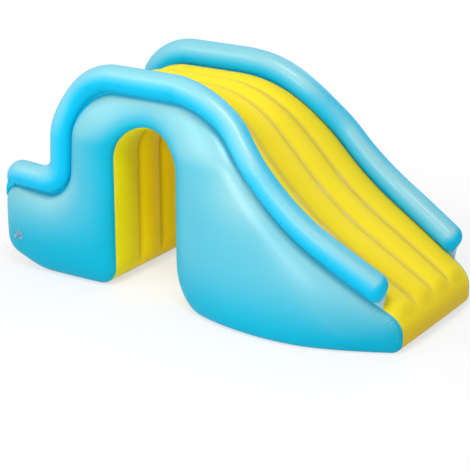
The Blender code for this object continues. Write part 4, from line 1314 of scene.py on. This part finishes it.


# The shading colours are painted: paler blue as painted light and highlights, ochre on the deck's lip as
# painted shade.
blue_vinyl = vinyl(
    "blue_pool_vinyl", (0.001, 0.430, 0.620, 1), (0.001, 0.410, 0.600, 1), 0.45, 0.9, 0.05,
    shading_colour=(0.22, 0.55, 0.61, 1))
# The tube vinyl also carries a painted glow.
rail_vinyl = vinyl(
    "blue_tube_vinyl", (0.001, 0.480, 0.730, 1), (0.001, 0.460, 0.710, 1), 0.45, 0.9, 0.05,
    shading_colour=(0.24, 0.58, 0.65, 1), glow=(0.0, 0.05, 0.095, 1), bounce=(0.50, 0.58, 0.60, 1))
yellow_vinyl = vinyl(
    "yellow_pool_vinyl", (0.980, 0.800, 0.030, 1), (0.970, 0.770, 0.026, 1), 0.5, 0.1, 0.05,
    groove=(0.76, 0.60, 0.09, 1), shading_colour=(0.80, 0.55, 0.006, 1), bounce=(0.72, 0.72, 0.55, 1))
# Painted shade: the arch liner is a darker copy of the yellow vinyl, darker and more olive still by the
# side seams.
liner_vinyl = vinyl(
    "shaded_yellow_vinyl", (0.920, 0.740, 0.007, 1), (0.920, 0.680, 0.005, 1), 0.5, 0.0, 0.1,
    groove=(0.74, 0.57, 0.01, 1), seam_shade=(0.80, 0.72, 0.010, 1))
print("vinyl ready")


# %% Translucent fittings and inner webs
def clear_vinyl_material(name, base, deep):
    """Milky translucent vinyl, as gussets and valves are made of."""
    made, surface = skinned(name, base, deep, 0.3, 0.1)
    return shade(made, surface, (surface, "Colour"), (surface, "Height"), 0.0002,
                 Transmission_Weight=0.35, IOR=1.3, Coat_Weight=0.2)


milky_vinyl = clear_vinyl_material("milky_soft_vinyl", (0.42, 0.74, 0.86, 1), (0.50, 0.80, 0.90, 1))
valve_vinyl = clear_vinyl_material("soft_valve_vinyl", (0.32, 0.58, 0.76, 1), (0.24, 0.46, 0.64, 1))
web_vinyl, surface = skinned("white_web_vinyl", (0.80, 0.83, 0.84, 1), (0.70, 0.74, 0.76, 1), 0.5, 0.15)
shade(web_vinyl, surface, (surface, "Colour"), (surface, "Height"), 0.0004)

yellow_sheets = [sheet for name, sheet in belt.items() if name != "arch_liner"]
for pieces, finish in (([belt["arch_liner"]], liner_vinyl), (yellow_sheets, yellow_vinyl),
                       ([*sides.values(), *crimps], blue_vinyl), ([*rails.values(), *strips], rail_vinyl),
                       (gussets, milky_vinyl), (flanges + valve_pieces, valve_vinyl)):
    for piece in pieces:
        piece.data.materials.clear()
        piece.data.materials.append(finish)
for name in ("right_web", "centre_web", "left_web"):
    for place in frame["nodes"][name].material_slots:
        place.material = web_vinyl
print("dressed")

# %% [markdown]
# ## Floor, lamps and white surroundings
# The photograph has soft studio light and a white ground. Seen directly, in gloss or through a clear
# piece, the floor glows white, less so round the slide, where it keeps a soft shadow. The world is
# white to the same rays, while its light on the object stays at a plain level.

# %% Floor and world
FLOOR_REACH = 30
FLOOR_LEVEL = -0.002
WORLD_LIGHT = 0.46


def seen_directly(tree):
    """Whether a ray comes from the camera, from gloss or through a clear piece."""
    rays = add_node(tree, "ShaderNodeLightPath")
    seen = maths(tree, "MAXIMUM", (rays, "Is Camera Ray"), (rays, "Is Glossy Ray"))
    return maths(tree, "MAXIMUM", seen, (rays, "Is Transmission Ray"))


floor_mesh = bpy.data.meshes.new("studio_floor")
floor_mesh.from_pydata([(x * FLOOR_REACH, y * FLOOR_REACH, FLOOR_LEVEL)
                        for x, y in ((-1, -1), (1, -1), (1, 1), (-1, 1))], [], [(0, 1, 2, 3)])
floor = linked("studio_floor", floor_mesh)
paper = bpy.data.materials.new("white_paper_floor")
paper.use_nodes = True
tree = paper.node_tree
shader = tree.nodes["Principled BSDF"]
shader.inputs["Base Color"].default_value = (0.9, 0.9, 0.9, 1)
shader.inputs["Roughness"].default_value = 0.9
shader.inputs["Specular IOR Level"].default_value = 0.1
where = add_node(tree, "ShaderNodeTexCoord")
away = add_node(tree, "ShaderNodeVectorMath", {0: (where, "Object")}, operation="LENGTH")
share = ramp(tree, (away, "Value"), 0.8, 2.6, 0.6, 1.0)
seen = maths(tree, "MULTIPLY", seen_directly(tree), share)
white = add_node(tree, "ShaderNodeEmission")
blend = add_node(tree, "ShaderNodeMixShader", {0: seen, 1: (shader, 0), 2: (white, 0)})
feed(tree, (blend, 0), tree.nodes["Material Output"].inputs["Surface"])
floor_mesh.materials.append(paper)

world = bpy.data.worlds.new("studio_world")
world.use_nodes = True
bpy.context.scene.world = world
tree = world.node_tree
strength = add_node(tree, "ShaderNodeMapRange",
                    {"Value": seen_directly(tree), "To Min": WORLD_LIGHT, "To Max": 1.0})
backdrop = tree.nodes["Background"]
feed(tree, (strength, "Result"), backdrop.inputs["Strength"])
backdrop.inputs["Color"].default_value = (1.0, 1.0, 1.0, 1.0)
print("floor and world ready")


# %% Lamps
def soft_lamp(name, place, target, size, power):
    """Square area lamp aimed at a point."""
    data = bpy.data.lights.new(name, "AREA")
    data.shape = "SQUARE"
    data.size = size
    data.energy = power
    lamp = bpy.data.objects.new(name, data)
    lamp.location = place
    lamp.rotation_euler = (Vector(target) - Vector(place)).to_track_quat("-Z", "Y").to_euler()
    bpy.context.collection.objects.link(lamp)
    return lamp


for name, place, target, size, power in (
        ("front_softbox", (0.7, -4.5, 2.4), (0.1, 0.0, 0.5), 1.5, 78),
        ("left_softbox", (-2.9, -3.6, 4.0), (0.0, 0.0, 0.5), 2.2, 66),
        ("top_softbox", (1.0, -2.1, 5.6), (0.2, 0.0, 0.4), 1.5, 105),
        ("back_softbox", (0.2, 4.0, 3.0), (0.0, 0.0, 0.4), 2.0, 40)):
    soft_lamp(name, place, target, size, power)
bpy.context.scene.view_settings.view_transform = "Standard"
print("lamps ready")
